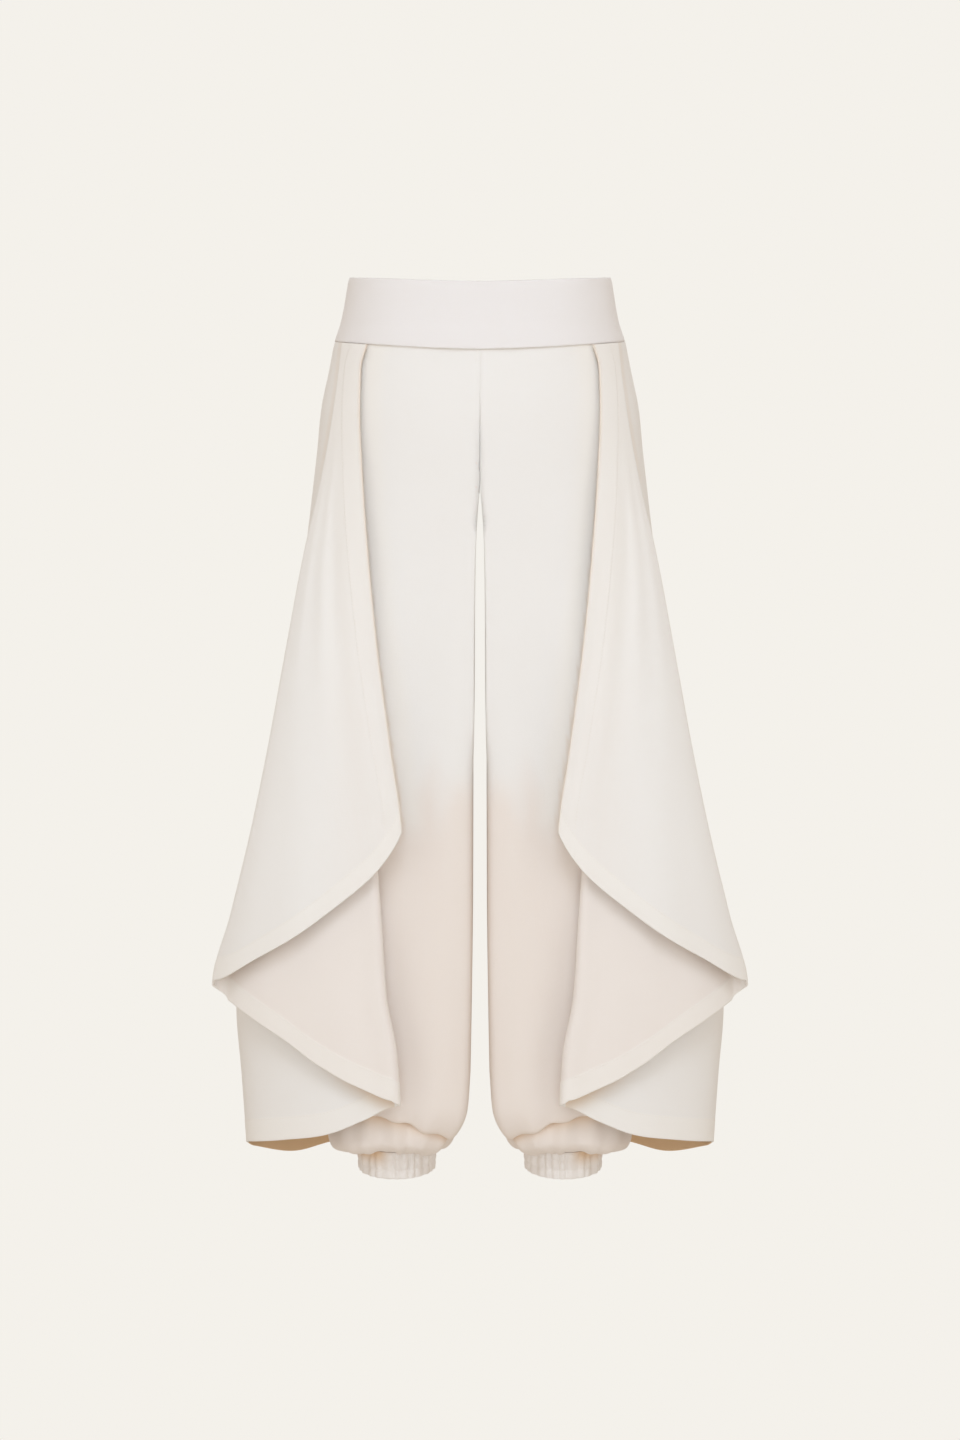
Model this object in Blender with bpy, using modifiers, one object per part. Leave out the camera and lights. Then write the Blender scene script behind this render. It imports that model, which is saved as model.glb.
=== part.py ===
"""Palazzo trousers: full legs gathered into ankle cuffs, under an overlay that falls in a cascade.

Metres, +Z up. The front faces -Y and the wearer's left is +X. The origin is the centre of the
waist opening, level with the top of the waistband at the side seams. The trousers keep the
hollow, filled-out shape that they have when worn.

Each cloth panel is an open grid of points, worked out from the tables below and walled by
Solidify. Heights z run down from 0, and a table's rows are joined by smooth curves.
"""

from types import SimpleNamespace

import bpy
import numpy as np

CLOTH = 0.0011  # wall of one layer of cloth
HEM = 0.0019  # wall where the hem is turned up
BAND_WALL = 0.0024  # wall of the doubled waistband
CUFF_WALL = 0.0016
SEAM = 0.0005  # gap between the middles of panel edges, which leaves 0.3 mm between their walls
TOP_SEAM = 0.0009  # the same under the waistband, whose flared wall reaches lower inside
HEM_DEPTH = 0.025  # height of a turned hem
HEM_STEP = 0.0015  # length over which the wall thickens into the hem

BAND_DEPTH = 0.069  # waistband height at the side seam
TOP_DIP = (0.0039, 0.0024)  # how far the waist edge dips: share of cos squared and of cos
SEAM_DIP = (0.0054, 0.0043)  # the same for the waistband's lower edge

LEG_AXIS = 0.0885  # from the centre plane to the middle of a leg
CROTCH = -0.2265  # height of the crotch point
RISE_START = {-1: -0.150, 1: -0.120}  # where the front and back rise curves leave the vertical
LEG_HALF_WIDTH = 0.082
CUFF_TOP = -0.9785
CUFF_END = -1.0096
CUFF_CENTRE = 0.0955
CUFF_HALF_WIDTH = 0.0428
CUFF_HALF_DEPTH = 0.0535
CUFF_GATHERS = 26
GATHER_DEPTH = 0.0016

BACK_INNER_EDGE = ((-0.2265, 0.0003), (-0.350, 0.014), (-0.700, 0.022), (-1.010, 0.045))


class Table:
    """Named columns against height, joined by smooth curves that never overshoot a row."""

    def __init__(self, columns, rows):
        self.names = columns.split()[1:]
        data = np.array(sorted(rows))
        self.z, self.values = data[:, 0], data[:, 1:]
        rise = np.diff(self.values, axis=0) / np.diff(self.z)[:, None]
        same_way = rise[:-1] * rise[1:] > 0
        total = np.where(same_way, rise[:-1] + rise[1:], 1.0)
        middle = np.where(same_way, 2 * rise[:-1] * rise[1:] / total, 0.0)
        self.slope = np.vstack([rise[:1], middle, rise[-1:]])

    def at(self, z):
        """The columns at height z, which may be an array."""
        i = np.clip(np.searchsorted(self.z, z) - 1, 0, len(self.z) - 2)
        step = (self.z[i + 1] - self.z[i])[..., None]
        t = np.clip((z - self.z[i])[..., None] / step, 0, 1)
        start, end = self.values[i], self.values[i + 1]
        values = (
            start
            + (end - start) * t**2 * (3 - 2 * t)
            + step * t * (1 - t) * (self.slope[i] * (1 - t) - self.slope[i + 1] * t)
        )
        return SimpleNamespace(**{n: values[..., k] for k, n in enumerate(self.names)})


BAND = Table(
    "z half_width front back square",
    (
        (0.004, 0.1431, 0.0982, 0.0982, 2.3),
        (0.000, 0.1438, 0.0988, 0.0988, 2.3),
        (-0.048, 0.1527, 0.1065, 0.1070, 2.3),
        (-0.069, 0.1597, 0.1123, 0.1135, 2.3),
        (-0.080, 0.1630, 0.1145, 0.1160, 2.3),
    ),
)

# Legs: outer is the side's distance from the centre plane, gap the inseam's; oval is the centre
# of the section's oval, which lies on the centre plane at the hips and on the leg's axis below
# them; corner is how sharply the section turns from the front into the inside of the leg.
LEG = Table(
    "z outer gap front back oval square corner",
    (
        (-0.060, 0.1555, 0.0000, 0.1100, 0.1105, 0.0000, 2.30, 200),
        (-0.069, 0.1572, 0.0000, 0.1105, 0.1112, 0.0000, 2.30, 200),
        (-0.100, 0.1635, 0.0001, 0.1125, 0.1170, 0.0000, 2.30, 200),
        (-0.145, 0.1725, 0.0007, 0.1135, 0.1230, 0.0000, 2.30, 60),
        (-0.190, 0.1760, 0.0009, 0.1130, 0.1250, 0.0010, 2.30, 16),
        (-0.2265, 0.1770, 0.0012, 0.1120, 0.1230, 0.0050, 2.33, 9),
        (-0.300, 0.1765, 0.0040, 0.1115, 0.1160, 0.0300, 2.40, 8),
        (-0.400, 0.1740, 0.0058, 0.1140, 0.1105, 0.0650, 2.50, 8),
        (-0.540, 0.1720, 0.0059, 0.1165, 0.1085, 0.0885, 2.60, 8),
        (-0.700, 0.1712, 0.0059, 0.1110, 0.1060, 0.0885, 2.60, 8),
        (-0.880, 0.1705, 0.0075, 0.0985, 0.0990, 0.0885, 2.50, 8),
    ),
)

# The leg's lower end, where it blouses over the cuff: how far the cloth has come in from the leg
# to the cuff (in) and its height (z) at the outer side, in the middle and at the inner side.
BLOUSE_ROWS = (
    # in_outer, in_middle, in_inner, z_outer, z_middle, z_inner
    (0.00, 0.02, 0.06, -0.900, -0.908, -0.925),
    (0.02, 0.08, 0.20, -0.912, -0.924, -0.948),
    (0.03, 0.16, 0.38, -0.922, -0.934, -0.961),
    (0.05, 0.25, 0.44, -0.925, -0.931, -0.958),
    (0.02, 0.23, 0.50, -0.940, -0.945, -0.968),
    (0.01, 0.27, 0.62, -0.962, -0.960, -0.977),
    (0.15, 0.48, 0.76, -0.978, -0.970, -0.982),
    (0.55, 0.78, 0.86, -0.982, -0.975, -0.983),
    (0.94, 0.94, 0.95, -0.9778, -0.9772, -0.9780),
    (1.00, 1.00, 1.00, -0.9772, -0.9768, -0.9772),
)

# The ring that the overlay hangs on, centred on the centre plane.
OVERLAY = Table(
    "z half_width front back square",
    (
        (-0.060, 0.1588, 0.1122, 0.1140, 2.30),
        (-0.069, 0.1605, 0.1128, 0.1147, 2.30),
        (-0.101, 0.1667, 0.1148, 0.1205, 2.30),
        (-0.145, 0.1760, 0.1160, 0.1267, 2.30),
        (-0.190, 0.1806, 0.1160, 0.1290, 2.30),
        (-0.223, 0.1845, 0.1160, 0.1280, 2.32),
        (-0.290, 0.1926, 0.1175, 0.1235, 2.40),
        (-0.374, 0.2040, 0.1210, 0.1200, 2.55),
        (-0.505, 0.2230, 0.1255, 0.1190, 2.70),
        (-0.637, 0.2450, 0.1260, 0.1180, 2.70),
        (-0.732, 0.2620, 0.1250, 0.1170, 2.60),
        (-0.821, 0.2770, 0.1240, 0.1160, 2.50),
        (-0.897, 0.2720, 0.1230, 0.1150, 2.40),
        (-0.981, 0.2670, 0.1220, 0.1140, 2.35),
        (-1.020, 0.2650, 0.1220, 0.1130, 2.35),
    ),
)

# The cascade: x is how far the free edge, the outer fold and the inner fold stand from the
# centre plane, off how far each stands out from the overlay's ring, turn a fold's half opening.
CASCADE = Table(
    "z edge_x edge_off outer_x outer_off outer_turn inner_x inner_off inner_turn",
    (
        (-0.069, 0.1205, 0.0040, 0.1500, 0.0030, 0.0010, 0.1330, 0.0010, 0.0010),
        (-0.100, 0.1290, 0.0046, 0.1533, 0.0035, 0.0011, 0.1370, 0.0012, 0.0011),
        (-0.145, 0.1300, 0.0065, 0.1595, 0.0050, 0.0015, 0.1400, 0.0018, 0.0014),
        (-0.220, 0.1267, 0.0105, 0.1735, 0.0095, 0.0027, 0.1370, 0.0032, 0.0022),
        (-0.300, 0.1205, 0.0145, 0.1925, 0.0160, 0.0042, 0.1340, 0.0046, 0.0032),
        (-0.400, 0.1105, 0.0185, 0.2115, 0.0220, 0.0060, 0.1290, 0.0060, 0.0042),
        (-0.505, 0.0965, 0.0240, 0.2310, 0.0280, 0.0078, 0.1220, 0.0076, 0.0055),
        (-0.600, 0.0840, 0.0290, 0.2510, 0.0320, 0.0090, 0.1145, 0.0090, 0.0065),
        (-0.700, 0.0820, 0.0310, 0.2760, 0.0350, 0.0100, 0.1075, 0.0100, 0.0072),
        (-0.780, 0.0820, 0.0310, 0.2975, 0.0365, 0.0100, 0.1025, 0.0105, 0.0078),
        (-0.850, 0.0820, 0.0310, 0.2985, 0.0365, 0.0100, 0.0905, 0.0110, 0.0082),
        (-0.910, 0.0820, 0.0310, 0.2985, 0.0365, 0.0100, 0.0875, 0.0110, 0.0082),
    ),
)

# Stretches of the overlay's panels, from the free front edge round to the centre back.
STRETCHES = ("front", "outer_fold", "middle", "inner_fold", "side", "back")

# Height of the overlay's hem: along counts the stretches, 0 to 1 being the front layer.
HEM_LINE = Table(
    "along z",
    (
        (0.00, -0.5960),
        (0.05, -0.6085),
        (0.20, -0.6362),
        (0.50, -0.6815),
        (0.80, -0.7370),
        (1.00, -0.7740),
        (1.50, -0.7870),
        (2.00, -0.7990),
        (2.10, -0.8070),
        (2.30, -0.8300),
        (2.50, -0.8590),
        (2.70, -0.8790),
        (3.00, -0.8970),
        (3.50, -0.9042),
        (4.00, -0.9083),
        (4.20, -0.9258),
        (4.40, -0.9445),
        (4.60, -0.9560),
        (5.00, -0.9815),
        (5.10, -0.9940),
        (5.30, -1.0122),
        (5.45, -1.0050),
        (6.00, -1.0000),
    ),
)
FRONT_HEM_SHARE = 0.14  # share of the front layer's columns that its edge hem takes

LEG_COLUMNS = 18
# Rows of the leg panels: their heights at the side seam, at the fold between the panel's face and
# the inside of the leg, and at the rise or inseam, with the columns that lie past the fold.
RISE_ROWS = {
    -1: (
        (-0.069, -0.069, -0.0690, 0),
        (-0.110, -0.110, -0.1100, 0),
        (-0.150, -0.150, -0.1500, 0),
        (-0.190, -0.192, -0.2006, 1),
        (-0.226, -0.224, -0.2162, 2),
        (-0.261, -0.252, -0.2240, 3),
    ),
    1: (
        (-0.069, -0.069, -0.0690, 0),
        (-0.095, -0.095, -0.0950, 0),
        (-0.122, -0.122, -0.1200, 0),
        (-0.174, -0.178, -0.1904, 1),
        (-0.218, -0.219, -0.2122, 2),
        (-0.257, -0.250, -0.2231, 3),
    ),
}
INSEAM_ROWS = (
    (-0.296, -0.280, -0.2265, 4),
    (-0.332, -0.312, -0.245, 4),
    (-0.377, -0.355, -0.285, 4),
    (-0.437, -0.415, -0.350, 4),
    (-0.502, -0.485, -0.440, 4),
    (-0.572, -0.560, -0.540, 4),
    (-0.650, -0.645, -0.640, 4),
    (-0.740, -0.740, -0.740, 4),
    (-0.820, -0.820, -0.820, 4),
    (-0.880, -0.880, -0.880, 4),
)
DRAPE_LEVELS = 13
FOLD_STEPS = 4

CREAM = (0.84, 0.81, 0.765)
BAND_CREAM = (0.82, 0.775, 0.735)


def smooth(t):
    """0 to 1 with level ends as t goes from 0 to 1."""
    t = np.clip(t, 0, 1)
    return t * t * (3 - 2 * t)


def bend(values, across):
    """Parabola through three values: across is 1 at the first, 0 at the second, -1 at the third."""
    first, second, third = values
    return second + (first - third) / 2 * across + ((first + third) / 2 - second) * across**2


def dip(shares, angle):
    """How far an edge of the waistband dips at an angle round the waist, 0 at the front."""
    return shares[0] * np.cos(angle) ** 2 + shares[1] * np.cos(angle)


def oval(angle, form):
    """Points and outward normals of a superellipse at angles from the front towards +X."""
    side, ahead = np.sin(angle), np.cos(angle)
    depth = np.where(ahead > 0, form.front, form.back)
    power = form.square
    reach = (np.abs(side / form.half_width) ** power + np.abs(ahead / depth) ** power) ** (-1 / power)
    x, y = reach * side, -reach * ahead
    nx = np.sign(x) * np.abs(x / form.half_width) ** (power - 1) / form.half_width
    ny = np.sign(y) * np.abs(y / depth) ** (power - 1) / depth
    size = np.hypot(nx, ny)
    return x, y, nx / size, ny / size


def overlay_point(angle, off, z):
    """Point that stands off from the overlay's ring at height z."""
    x, y, nx, ny = oval(angle, OVERLAY.at(z))
    return np.stack([x + off * nx, y + off * ny, z + 0 * x], axis=-1)


def angle_at(reach, off, z):
    """Angle, front or side quarter, at which the stood-off ring is reach from the centre plane."""
    low = np.zeros_like(z)
    high = np.full_like(z, np.pi / 2)
    for _ in range(30):
        middle = (low + high) / 2
        short = overlay_point(middle, off, z)[..., 0] < reach
        low = np.where(short, middle, low)
        high = np.where(short, high, middle)
    return low


def ring_speed(angle, off, z):
    """Metres round the stood-off ring for each radian."""
    step = 0.001
    ahead, behind = overlay_point(angle + step, off, z), overlay_point(angle - step, off, z)
    return np.linalg.norm(ahead - behind, axis=-1) / (2 * step)


def cascade_point(stretch, share, z):
    """Point of one stretch of the cascade, share 0 to 1 along it, at height z."""
    k = CASCADE.at(z)
    outer = angle_at(k.outer_x - k.outer_turn, k.outer_off, z)
    inner = angle_at(k.inner_x + k.inner_turn, k.inner_off, z)
    if stretch == "front":
        edge = angle_at(k.edge_x, k.edge_off, z)
        hem = HEM_DEPTH / ((outer - edge) * ring_speed((edge + outer) / 2, k.edge_off, z))
        on_hem = share * hem / FRONT_HEM_SHARE
        past_hem = hem + (1 - hem) * (share - FRONT_HEM_SHARE) / (1 - FRONT_HEM_SHARE)
        along = np.where(share < FRONT_HEM_SHARE, on_hem, past_hem)
        angle = edge + (outer - edge) * along
        off = k.edge_off + (k.outer_off + k.outer_turn - k.edge_off) * smooth(along)
    elif stretch == "outer_fold":
        turn = np.pi * share
        angle = outer + k.outer_turn * np.sin(turn) / ring_speed(outer, k.outer_off, z)
        off = k.outer_off + k.outer_turn * np.cos(turn)
    elif stretch == "middle":
        angle = outer + (inner - outer) * share
        start, end = k.outer_off - k.outer_turn, k.inner_off + k.inner_turn
        off = start + (end - start) * smooth(share)
    elif stretch == "inner_fold":
        turn = np.pi * share
        angle = inner - k.inner_turn * np.sin(turn) / ring_speed(inner, k.inner_off, z)
        off = k.inner_off + k.inner_turn * np.cos(turn)
    else:
        angle = inner + (np.pi / 2 - inner) * share
        off = (k.inner_off - k.inner_turn) * (1 - smooth(share))
    return overlay_point(angle, off, z)


def drape_rows(point, share, stretch):
    """Heights of a stretch's rows, from the waistband's seam to the hem, and their points."""
    hem = HEM_LINE.at(STRETCHES.index(stretch) + share).z
    top_point = point(share, np.full_like(share, -BAND_DEPTH))
    angle = np.arctan2(top_point[:, 0], -top_point[:, 1])
    top = -BAND_DEPTH - dip(SEAM_DIP, angle) - TOP_SEAM
    down = (np.arange(DRAPE_LEVELS + 1) / DRAPE_LEVELS)[:, None]
    body = top + (hem + HEM_DEPTH + HEM_STEP - top) * down
    heights = np.vstack([body, hem + HEM_DEPTH, hem])
    return point(np.broadcast_to(share, heights.shape), heights)


def drape_front():
    """The cascade panel: front layer, outer fold, middle layer, inner fold and side layer."""
    hem, ease = FRONT_HEM_SHARE, FRONT_HEM_SHARE * HEM_STEP / HEM_DEPTH
    turn = np.arange(1, FOLD_STEPS) / FOLD_STEPS
    stretches = (
        ("front", np.hstack([0, hem, hem + ease, hem + (1 - hem) * np.arange(1, 8) / 7])),
        ("outer_fold", turn),
        ("middle", np.linspace(0, 1, 8)),
        ("inner_fold", turn),
        ("side", np.linspace(0, 1, 9)),
    )
    grids = []
    for stretch, share in stretches:
        grids.append(drape_rows(lambda s, z, n=stretch: cascade_point(n, s, z), share, stretch))
    grid = np.hstack(grids)
    grid[..., 1] -= SEAM / 2 * (np.arange(grid.shape[1]) == grid.shape[1] - 1)
    thick = np.zeros(grid.shape[:2])
    thick[-2:] = 1
    thick[:, :2] = 1
    return grid, thick


def drape_back():
    """The plain back of the overlay, from the side seam to the centre back."""
    edge_z, edge_x = np.array(BACK_INNER_EDGE)[::-1].T

    def point(share, z):
        edge = np.pi - np.interp(z, edge_z, edge_x) / OVERLAY.at(z).back
        return overlay_point(np.pi / 2 + (edge - np.pi / 2) * share, 0.0, z)

    grid = drape_rows(point, np.linspace(0, 1, 14), "back")
    grid[:, 0, 1] += SEAM / 2
    thick = np.zeros(grid.shape[:2])
    thick[-2:] = 1
    return grid, thick


def leg_wall(turn, form, depth):
    """Point of a leg's wall, turned from its outer side about its axis, found by halving.

    The wall is where an oval and the flat inside of the leg meet, with their corner rounded.
    """
    low, high = np.zeros_like(turn * depth), np.full_like(turn * depth, 0.4)
    for _ in range(30):
        reach = (low + high) / 2
        x, y = LEG_AXIS + reach * np.cos(turn), reach * np.sin(turn)
        across = np.abs((x - form.oval) / (form.outer - form.oval)) ** form.square
        oval_share = (across + np.abs(y / depth) ** form.square) ** (1 / form.square)
        flat_share = np.clip((LEG_AXIS - x) / (LEG_AXIS - form.gap), 0, None)
        within = oval_share**form.corner + flat_share**form.corner < 1
        low, high = np.where(within, reach, low), np.where(within, high, reach)
    return x, y


def cuff_point(angle, z, gathers):
    """Point of the cuff's ring, 0 at its front, with its gathers as a wave round it."""
    wave = gathers * np.cos(CUFF_GATHERS * angle)
    x = CUFF_CENTRE + (CUFF_HALF_WIDTH + wave) * np.sin(angle)
    y = -(CUFF_HALF_DEPTH + wave) * np.cos(angle)
    return np.stack([x, y, z + 0 * x], axis=-1)


def leg_body(side):
    """Points of a leg panel above the blouse, and how far each column turns about the leg."""
    side_z, fold_z, seam_z, inner = np.array(RISE_ROWS[side] + INSEAM_ROWS).T[..., None]
    column = np.arange(LEG_COLUMNS)
    fold = LEG_COLUMNS - 1 - inner
    face = np.clip(column / fold, 0, 1)
    inside = np.clip((column - fold) / np.maximum(inner, 1), 0, 1)
    levels = side_z + (fold_z - side_z) * face**2 + (seam_z - fold_z) * inside

    seam = LEG.at(seam_z)
    seam_depth = seam.front if side < 0 else seam.back
    start = RISE_START[side]
    fall = np.clip((start - seam_z) / (start - CROTCH), 0, 1)
    rise = seam_depth * np.sqrt(1 - fall**2)
    seam_turn = np.pi - np.arctan2(rise, LEG_AXIS - seam.gap)
    seam_x, seam_y = leg_wall(seam_turn, seam, seam_depth)

    form = LEG.at(levels)
    depth = form.front if side < 0 else form.back
    fold_turn = np.pi - np.arctan2(depth, LEG_AXIS - form.gap)
    turn = face * fold_turn + inside * (seam_turn - fold_turn)
    x, y = leg_wall(turn, form, depth)
    pull = np.where(column == LEG_COLUMNS - 1, 1, smooth(inside))
    x = x + pull * (seam.gap - seam_x)
    y = y + pull * (rise - seam_y)
    return np.stack([x + SEAM / 2, side * (y + SEAM / 2), levels], axis=-1), turn


def leg_panel(side):
    """Front (-1) or back (1) panel of a leg, from the waistband's seam to the cuff."""
    grid, turn = leg_body(side)
    levels = grid[..., 2]
    angle = np.arctan2(grid[..., 0], -grid[..., 1])
    fade = 1 - smooth((-BAND_DEPTH - levels) / 0.09)
    grid[..., 2] = levels - (dip(SEAM_DIP, angle) + TOP_SEAM) * fade

    last = grid[-1]
    cuff_ring = cuff_point(np.pi / 2 + side * turn[-1], CUFF_TOP, 0.0)
    cuff_ring[:, 1] += side * SEAM / 2
    across = (last[:, 0] - LEG_AXIS) / LEG_HALF_WIDTH
    blouse = []
    for row in BLOUSE_ROWS:
        points = last + bend(row[:3], across)[:, None] * (cuff_ring - last)
        points[:, 2] = bend(row[3:], across)
        blouse.append(points)
    return np.concatenate([grid, blouse])


def waistband(side):
    """Front (-1) or back (1) half of the waistband."""
    quarter = np.linspace(-np.pi / 2, np.pi / 2, 25)
    angle = quarter if side < 0 else np.pi - quarter
    top = -dip(TOP_DIP, angle)
    bottom = -BAND_DEPTH - dip(SEAM_DIP, angle)
    heights = top + (bottom - top) * np.array([0, 0.35, 0.7, 1.0])[:, None]
    x, y, _, _ = oval(angle + 0 * heights, BAND.at(heights))
    return np.stack([x, y + side * SEAM / 2, heights], axis=-1)


def cuff():
    """The gathered cuff, a closed ring: each gather has a crest and a hollow."""
    angle = np.arange(2 * CUFF_GATHERS) * np.pi / CUFF_GATHERS
    rows = [(CUFF_TOP - SEAM, 0.6), (CUFF_TOP - 0.008, 1.0), (CUFF_END, 0.8)]
    return np.stack([cuff_point(angle, z, depth * GATHER_DEPTH) for z, depth in rows])


def finish(name, colour, roughness):
    """A plain cloth material."""
    material = bpy.data.materials.new(name)
    material.use_nodes = True
    shader = material.node_tree.nodes["Principled BSDF"]
    shader.inputs["Base Color"].default_value = (*colour, 1.0)
    shader.inputs["Roughness"].default_value = roughness
    shader.inputs["Metallic"].default_value = 0.0
    return material


def cloth(name, grid, collection, colour, wall=CLOTH, closed=False, thick=None, start=0):
    """A panel: quads between the grid's points, each split from its corner number start."""
    index = np.arange(grid.shape[0] * grid.shape[1]).reshape(grid.shape[:2])
    if closed:
        index = np.hstack([index, index[:, :1]])
    corners = (index[:-1, :-1], index[1:, :-1], index[1:, 1:], index[:-1, 1:])
    quads = np.roll(np.stack(corners, axis=-1), start, axis=-1).reshape(-1, 4)
    mesh = bpy.data.meshes.new(name)
    mesh.from_pydata(grid.reshape(-1, 3).tolist(), [], quads.tolist())
    mesh.shade_smooth()
    mesh.materials.append(finish(name, colour, 0.85))
    panel = bpy.data.objects.new(name, mesh)
    collection.objects.link(panel)
    split = panel.modifiers.new("split", "TRIANGULATE")
    split.quad_method = "FIXED"
    walled = panel.modifiers.new("wall", "SOLIDIFY")
    walled.offset = 0.0
    walled.thickness = wall
    if thick is not None:
        hem = panel.vertex_groups.new(name="hem")
        hem.add(np.flatnonzero(thick.ravel() > 0).tolist(), 1.0, "REPLACE")
        walled.vertex_group = "hem"
        walled.thickness = HEM
        walled.thickness_vertex_group = wall / HEM
    return panel


def build():
    """Clear the scene and make every piece of the trousers."""
    for thing in list(bpy.data.objects):
        bpy.data.objects.remove(thing)
    trousers = bpy.data.collections.new("palazzo_trousers")
    bpy.context.scene.collection.children.link(trousers)

    cloth("waistband_front", waistband(-1), trousers, BAND_CREAM, BAND_WALL)
    cloth("waistband_back", waistband(1), trousers, BAND_CREAM, BAND_WALL)
    drapes = {"front": drape_front(), "back": drape_back()}
    for hand, sign in (("left", 1), ("right", -1)):
        mirror = np.array([sign, 1, 1])
        for part, side in (("front", -1), ("back", 1)):
            cloth(f"leg_{part}_{hand}", leg_panel(side) * mirror, trousers, CREAM, start=1)
            grid, thick = drapes[part]
            cloth(f"drape_{part}_{hand}", grid * mirror, trousers, CREAM, thick=thick)
        cloth(f"cuff_{hand}", cuff() * mirror, trousers, CREAM, CUFF_WALL, closed=True)


build()
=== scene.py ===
"""Palazzo trousers in cream crepe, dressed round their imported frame.

A wide plain waistband carries full legs that blouse over gathered ankle cuffs. On each side an
overlay falls from the front in a cascade: a front layer with a free hemmed edge, an outer fold, a
middle layer, an inner fold and a side layer, and behind the side seam a plain back. Metres, +Z up;
the front faces -Y and the wearer's left is +X. Every sheet of cloth is a grid of points worked out
with whole arrays: heights run down from the waist at 0, and angles run round from the front.
"""

import logging
import math
from dataclasses import dataclass, field
from enum import Enum
from typing import Any, Iterable, Sequence

import bpy
import numpy as np
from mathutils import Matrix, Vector


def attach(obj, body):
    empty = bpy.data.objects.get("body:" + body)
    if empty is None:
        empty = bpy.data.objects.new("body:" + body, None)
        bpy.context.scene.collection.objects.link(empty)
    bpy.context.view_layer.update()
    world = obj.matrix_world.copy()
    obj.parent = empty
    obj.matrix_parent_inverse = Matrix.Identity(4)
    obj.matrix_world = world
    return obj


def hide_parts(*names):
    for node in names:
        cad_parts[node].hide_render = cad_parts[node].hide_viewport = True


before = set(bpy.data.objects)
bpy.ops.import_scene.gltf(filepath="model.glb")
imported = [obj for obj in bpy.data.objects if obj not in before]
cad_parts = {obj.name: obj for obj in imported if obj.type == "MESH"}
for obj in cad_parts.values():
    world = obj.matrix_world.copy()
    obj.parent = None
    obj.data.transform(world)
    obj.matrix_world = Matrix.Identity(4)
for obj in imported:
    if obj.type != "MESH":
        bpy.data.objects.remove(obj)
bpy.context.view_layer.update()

Array = np.ndarray
log = logging.getLogger("palazzo_trousers")

SEAM = 0.0005  # between the middles of two panel edges
TOP_SEAM = 0.0005  # under the waistband
RIM = 0.0002  # how far a sheet's rounded rim stands past its edge


class Side(Enum):
    """The front or the back half of the trousers, as the sign of Y."""

    FRONT = -1
    BACK = 1


class Hand(Enum):
    """The wearer's left or right, as the sign of X."""

    LEFT = 1
    RIGHT = -1


class Stretch(Enum):
    """The stretches of the overlay, from its free front edge round to the centre back."""

    FRONT = 0
    OUTER_FOLD = 1
    MIDDLE = 2
    INNER_FOLD = 3
    SIDE = 4
    BACK = 5


# ---------------------------------------------------------------------------------- curves


def smooth(t: Array) -> Array:
    """0 to 1 with level ends as t goes from 0 to 1: three t squared less two t cubed."""
    t = np.clip(t, 0, 1)
    return t * t * (3 - 2 * t)


def bump(t: Array) -> Array:
    """A soft hump of height 1 at 0 that has died away by about 2: e to the minus t squared."""
    return np.exp(-np.square(t))


def ripple(u: Array, v: Array, wave_u: float, wave_v: float, seed: int, waves: int = 5) -> Array:
    """Soft uneven waves of height about 1.

    Each wave is the sine of u and v over its own lengths, which are drawn round wave_u and
    wave_v, plus a drawn phase. Their sum is divided by the square root of their number.

    Args:
        u: Place across the waves.
        v: Place along the waves.
        wave_u: Usual length of a wave across.
        wave_v: Usual length of a wave along.
        seed: Start of the random draws.
        waves: How many sines are added.

    Returns:
        The height at each place.
    """
    draw = np.random.default_rng(seed)
    total = np.zeros(np.broadcast(u, v).shape)
    for _ in range(waves):
        across = draw.uniform(0.7, 1.5) / wave_u
        along = draw.uniform(-1.2, 1.2) / wave_v
        total = total + np.sin(2 * np.pi * (u * across + v * along) + draw.uniform(0, 6.28))
    return total / math.sqrt(waves)


class Curve:
    """Named columns against a key, joined by smooth curves that never overshoot a row."""

    def __init__(self, columns: str, rows: Iterable[Sequence[float]]) -> None:
        """Works out each column's slope at each row.

        A slope is twice the product over the sum of the two neighbouring rises, or 0 where
        they point different ways.

        Args:
            columns: The key's name and the columns' names, with spaces between.
            rows: The key and the columns of each row.
        """
        self.names = columns.split()[1:]
        data = np.array(sorted(rows), dtype=float)
        self.key, self.values = data[:, 0], data[:, 1:]
        rise = np.diff(self.values, axis=0) / np.diff(self.key)[:, None]
        same_way = rise[:-1] * rise[1:] > 0
        total = np.where(same_way, rise[:-1] + rise[1:], 1.0)
        middle = np.where(same_way, 2 * rise[:-1] * rise[1:] / total, 0.0)
        self.slope = np.vstack([rise[:1], middle, rise[-1:]])

    def at(self, key: Array) -> dict[str, Array]:
        """The columns at a key, by name: a cubic through each pair of rows with their slopes.

        Args:
            key: Where to read the columns, any array.

        Returns:
            Each column's name with its values.
        """
        key = np.asarray(key, dtype=float)
        i = np.clip(np.searchsorted(self.key, key) - 1, 0, len(self.key) - 2)
        step = (self.key[i + 1] - self.key[i])[..., None]
        t = np.clip((key - self.key[i])[..., None] / step, 0, 1)
        start, end = self.values[i], self.values[i + 1]
        values = (
            start
            + (end - start) * t**2 * (3 - 2 * t)
            + step * t * (1 - t) * (self.slope[i] * (1 - t) - self.slope[i + 1] * t)
        )
        return {name: values[..., k] for k, name in enumerate(self.names)}


@dataclass(frozen=True)
class Dip:
    """How far an edge of the waistband dips round the waist."""

    squared: float
    plain: float

    def at(self, angle: Array) -> Array:
        """One share times cos squared of the angle plus the other times its cos."""
        return self.squared * np.cos(angle) ** 2 + self.plain * np.cos(angle)


TOP_DIP = Dip(0.0039, 0.0024)
SEAM_DIP = Dip(0.0054, 0.0043)
BAND_DEPTH = 0.069

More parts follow.
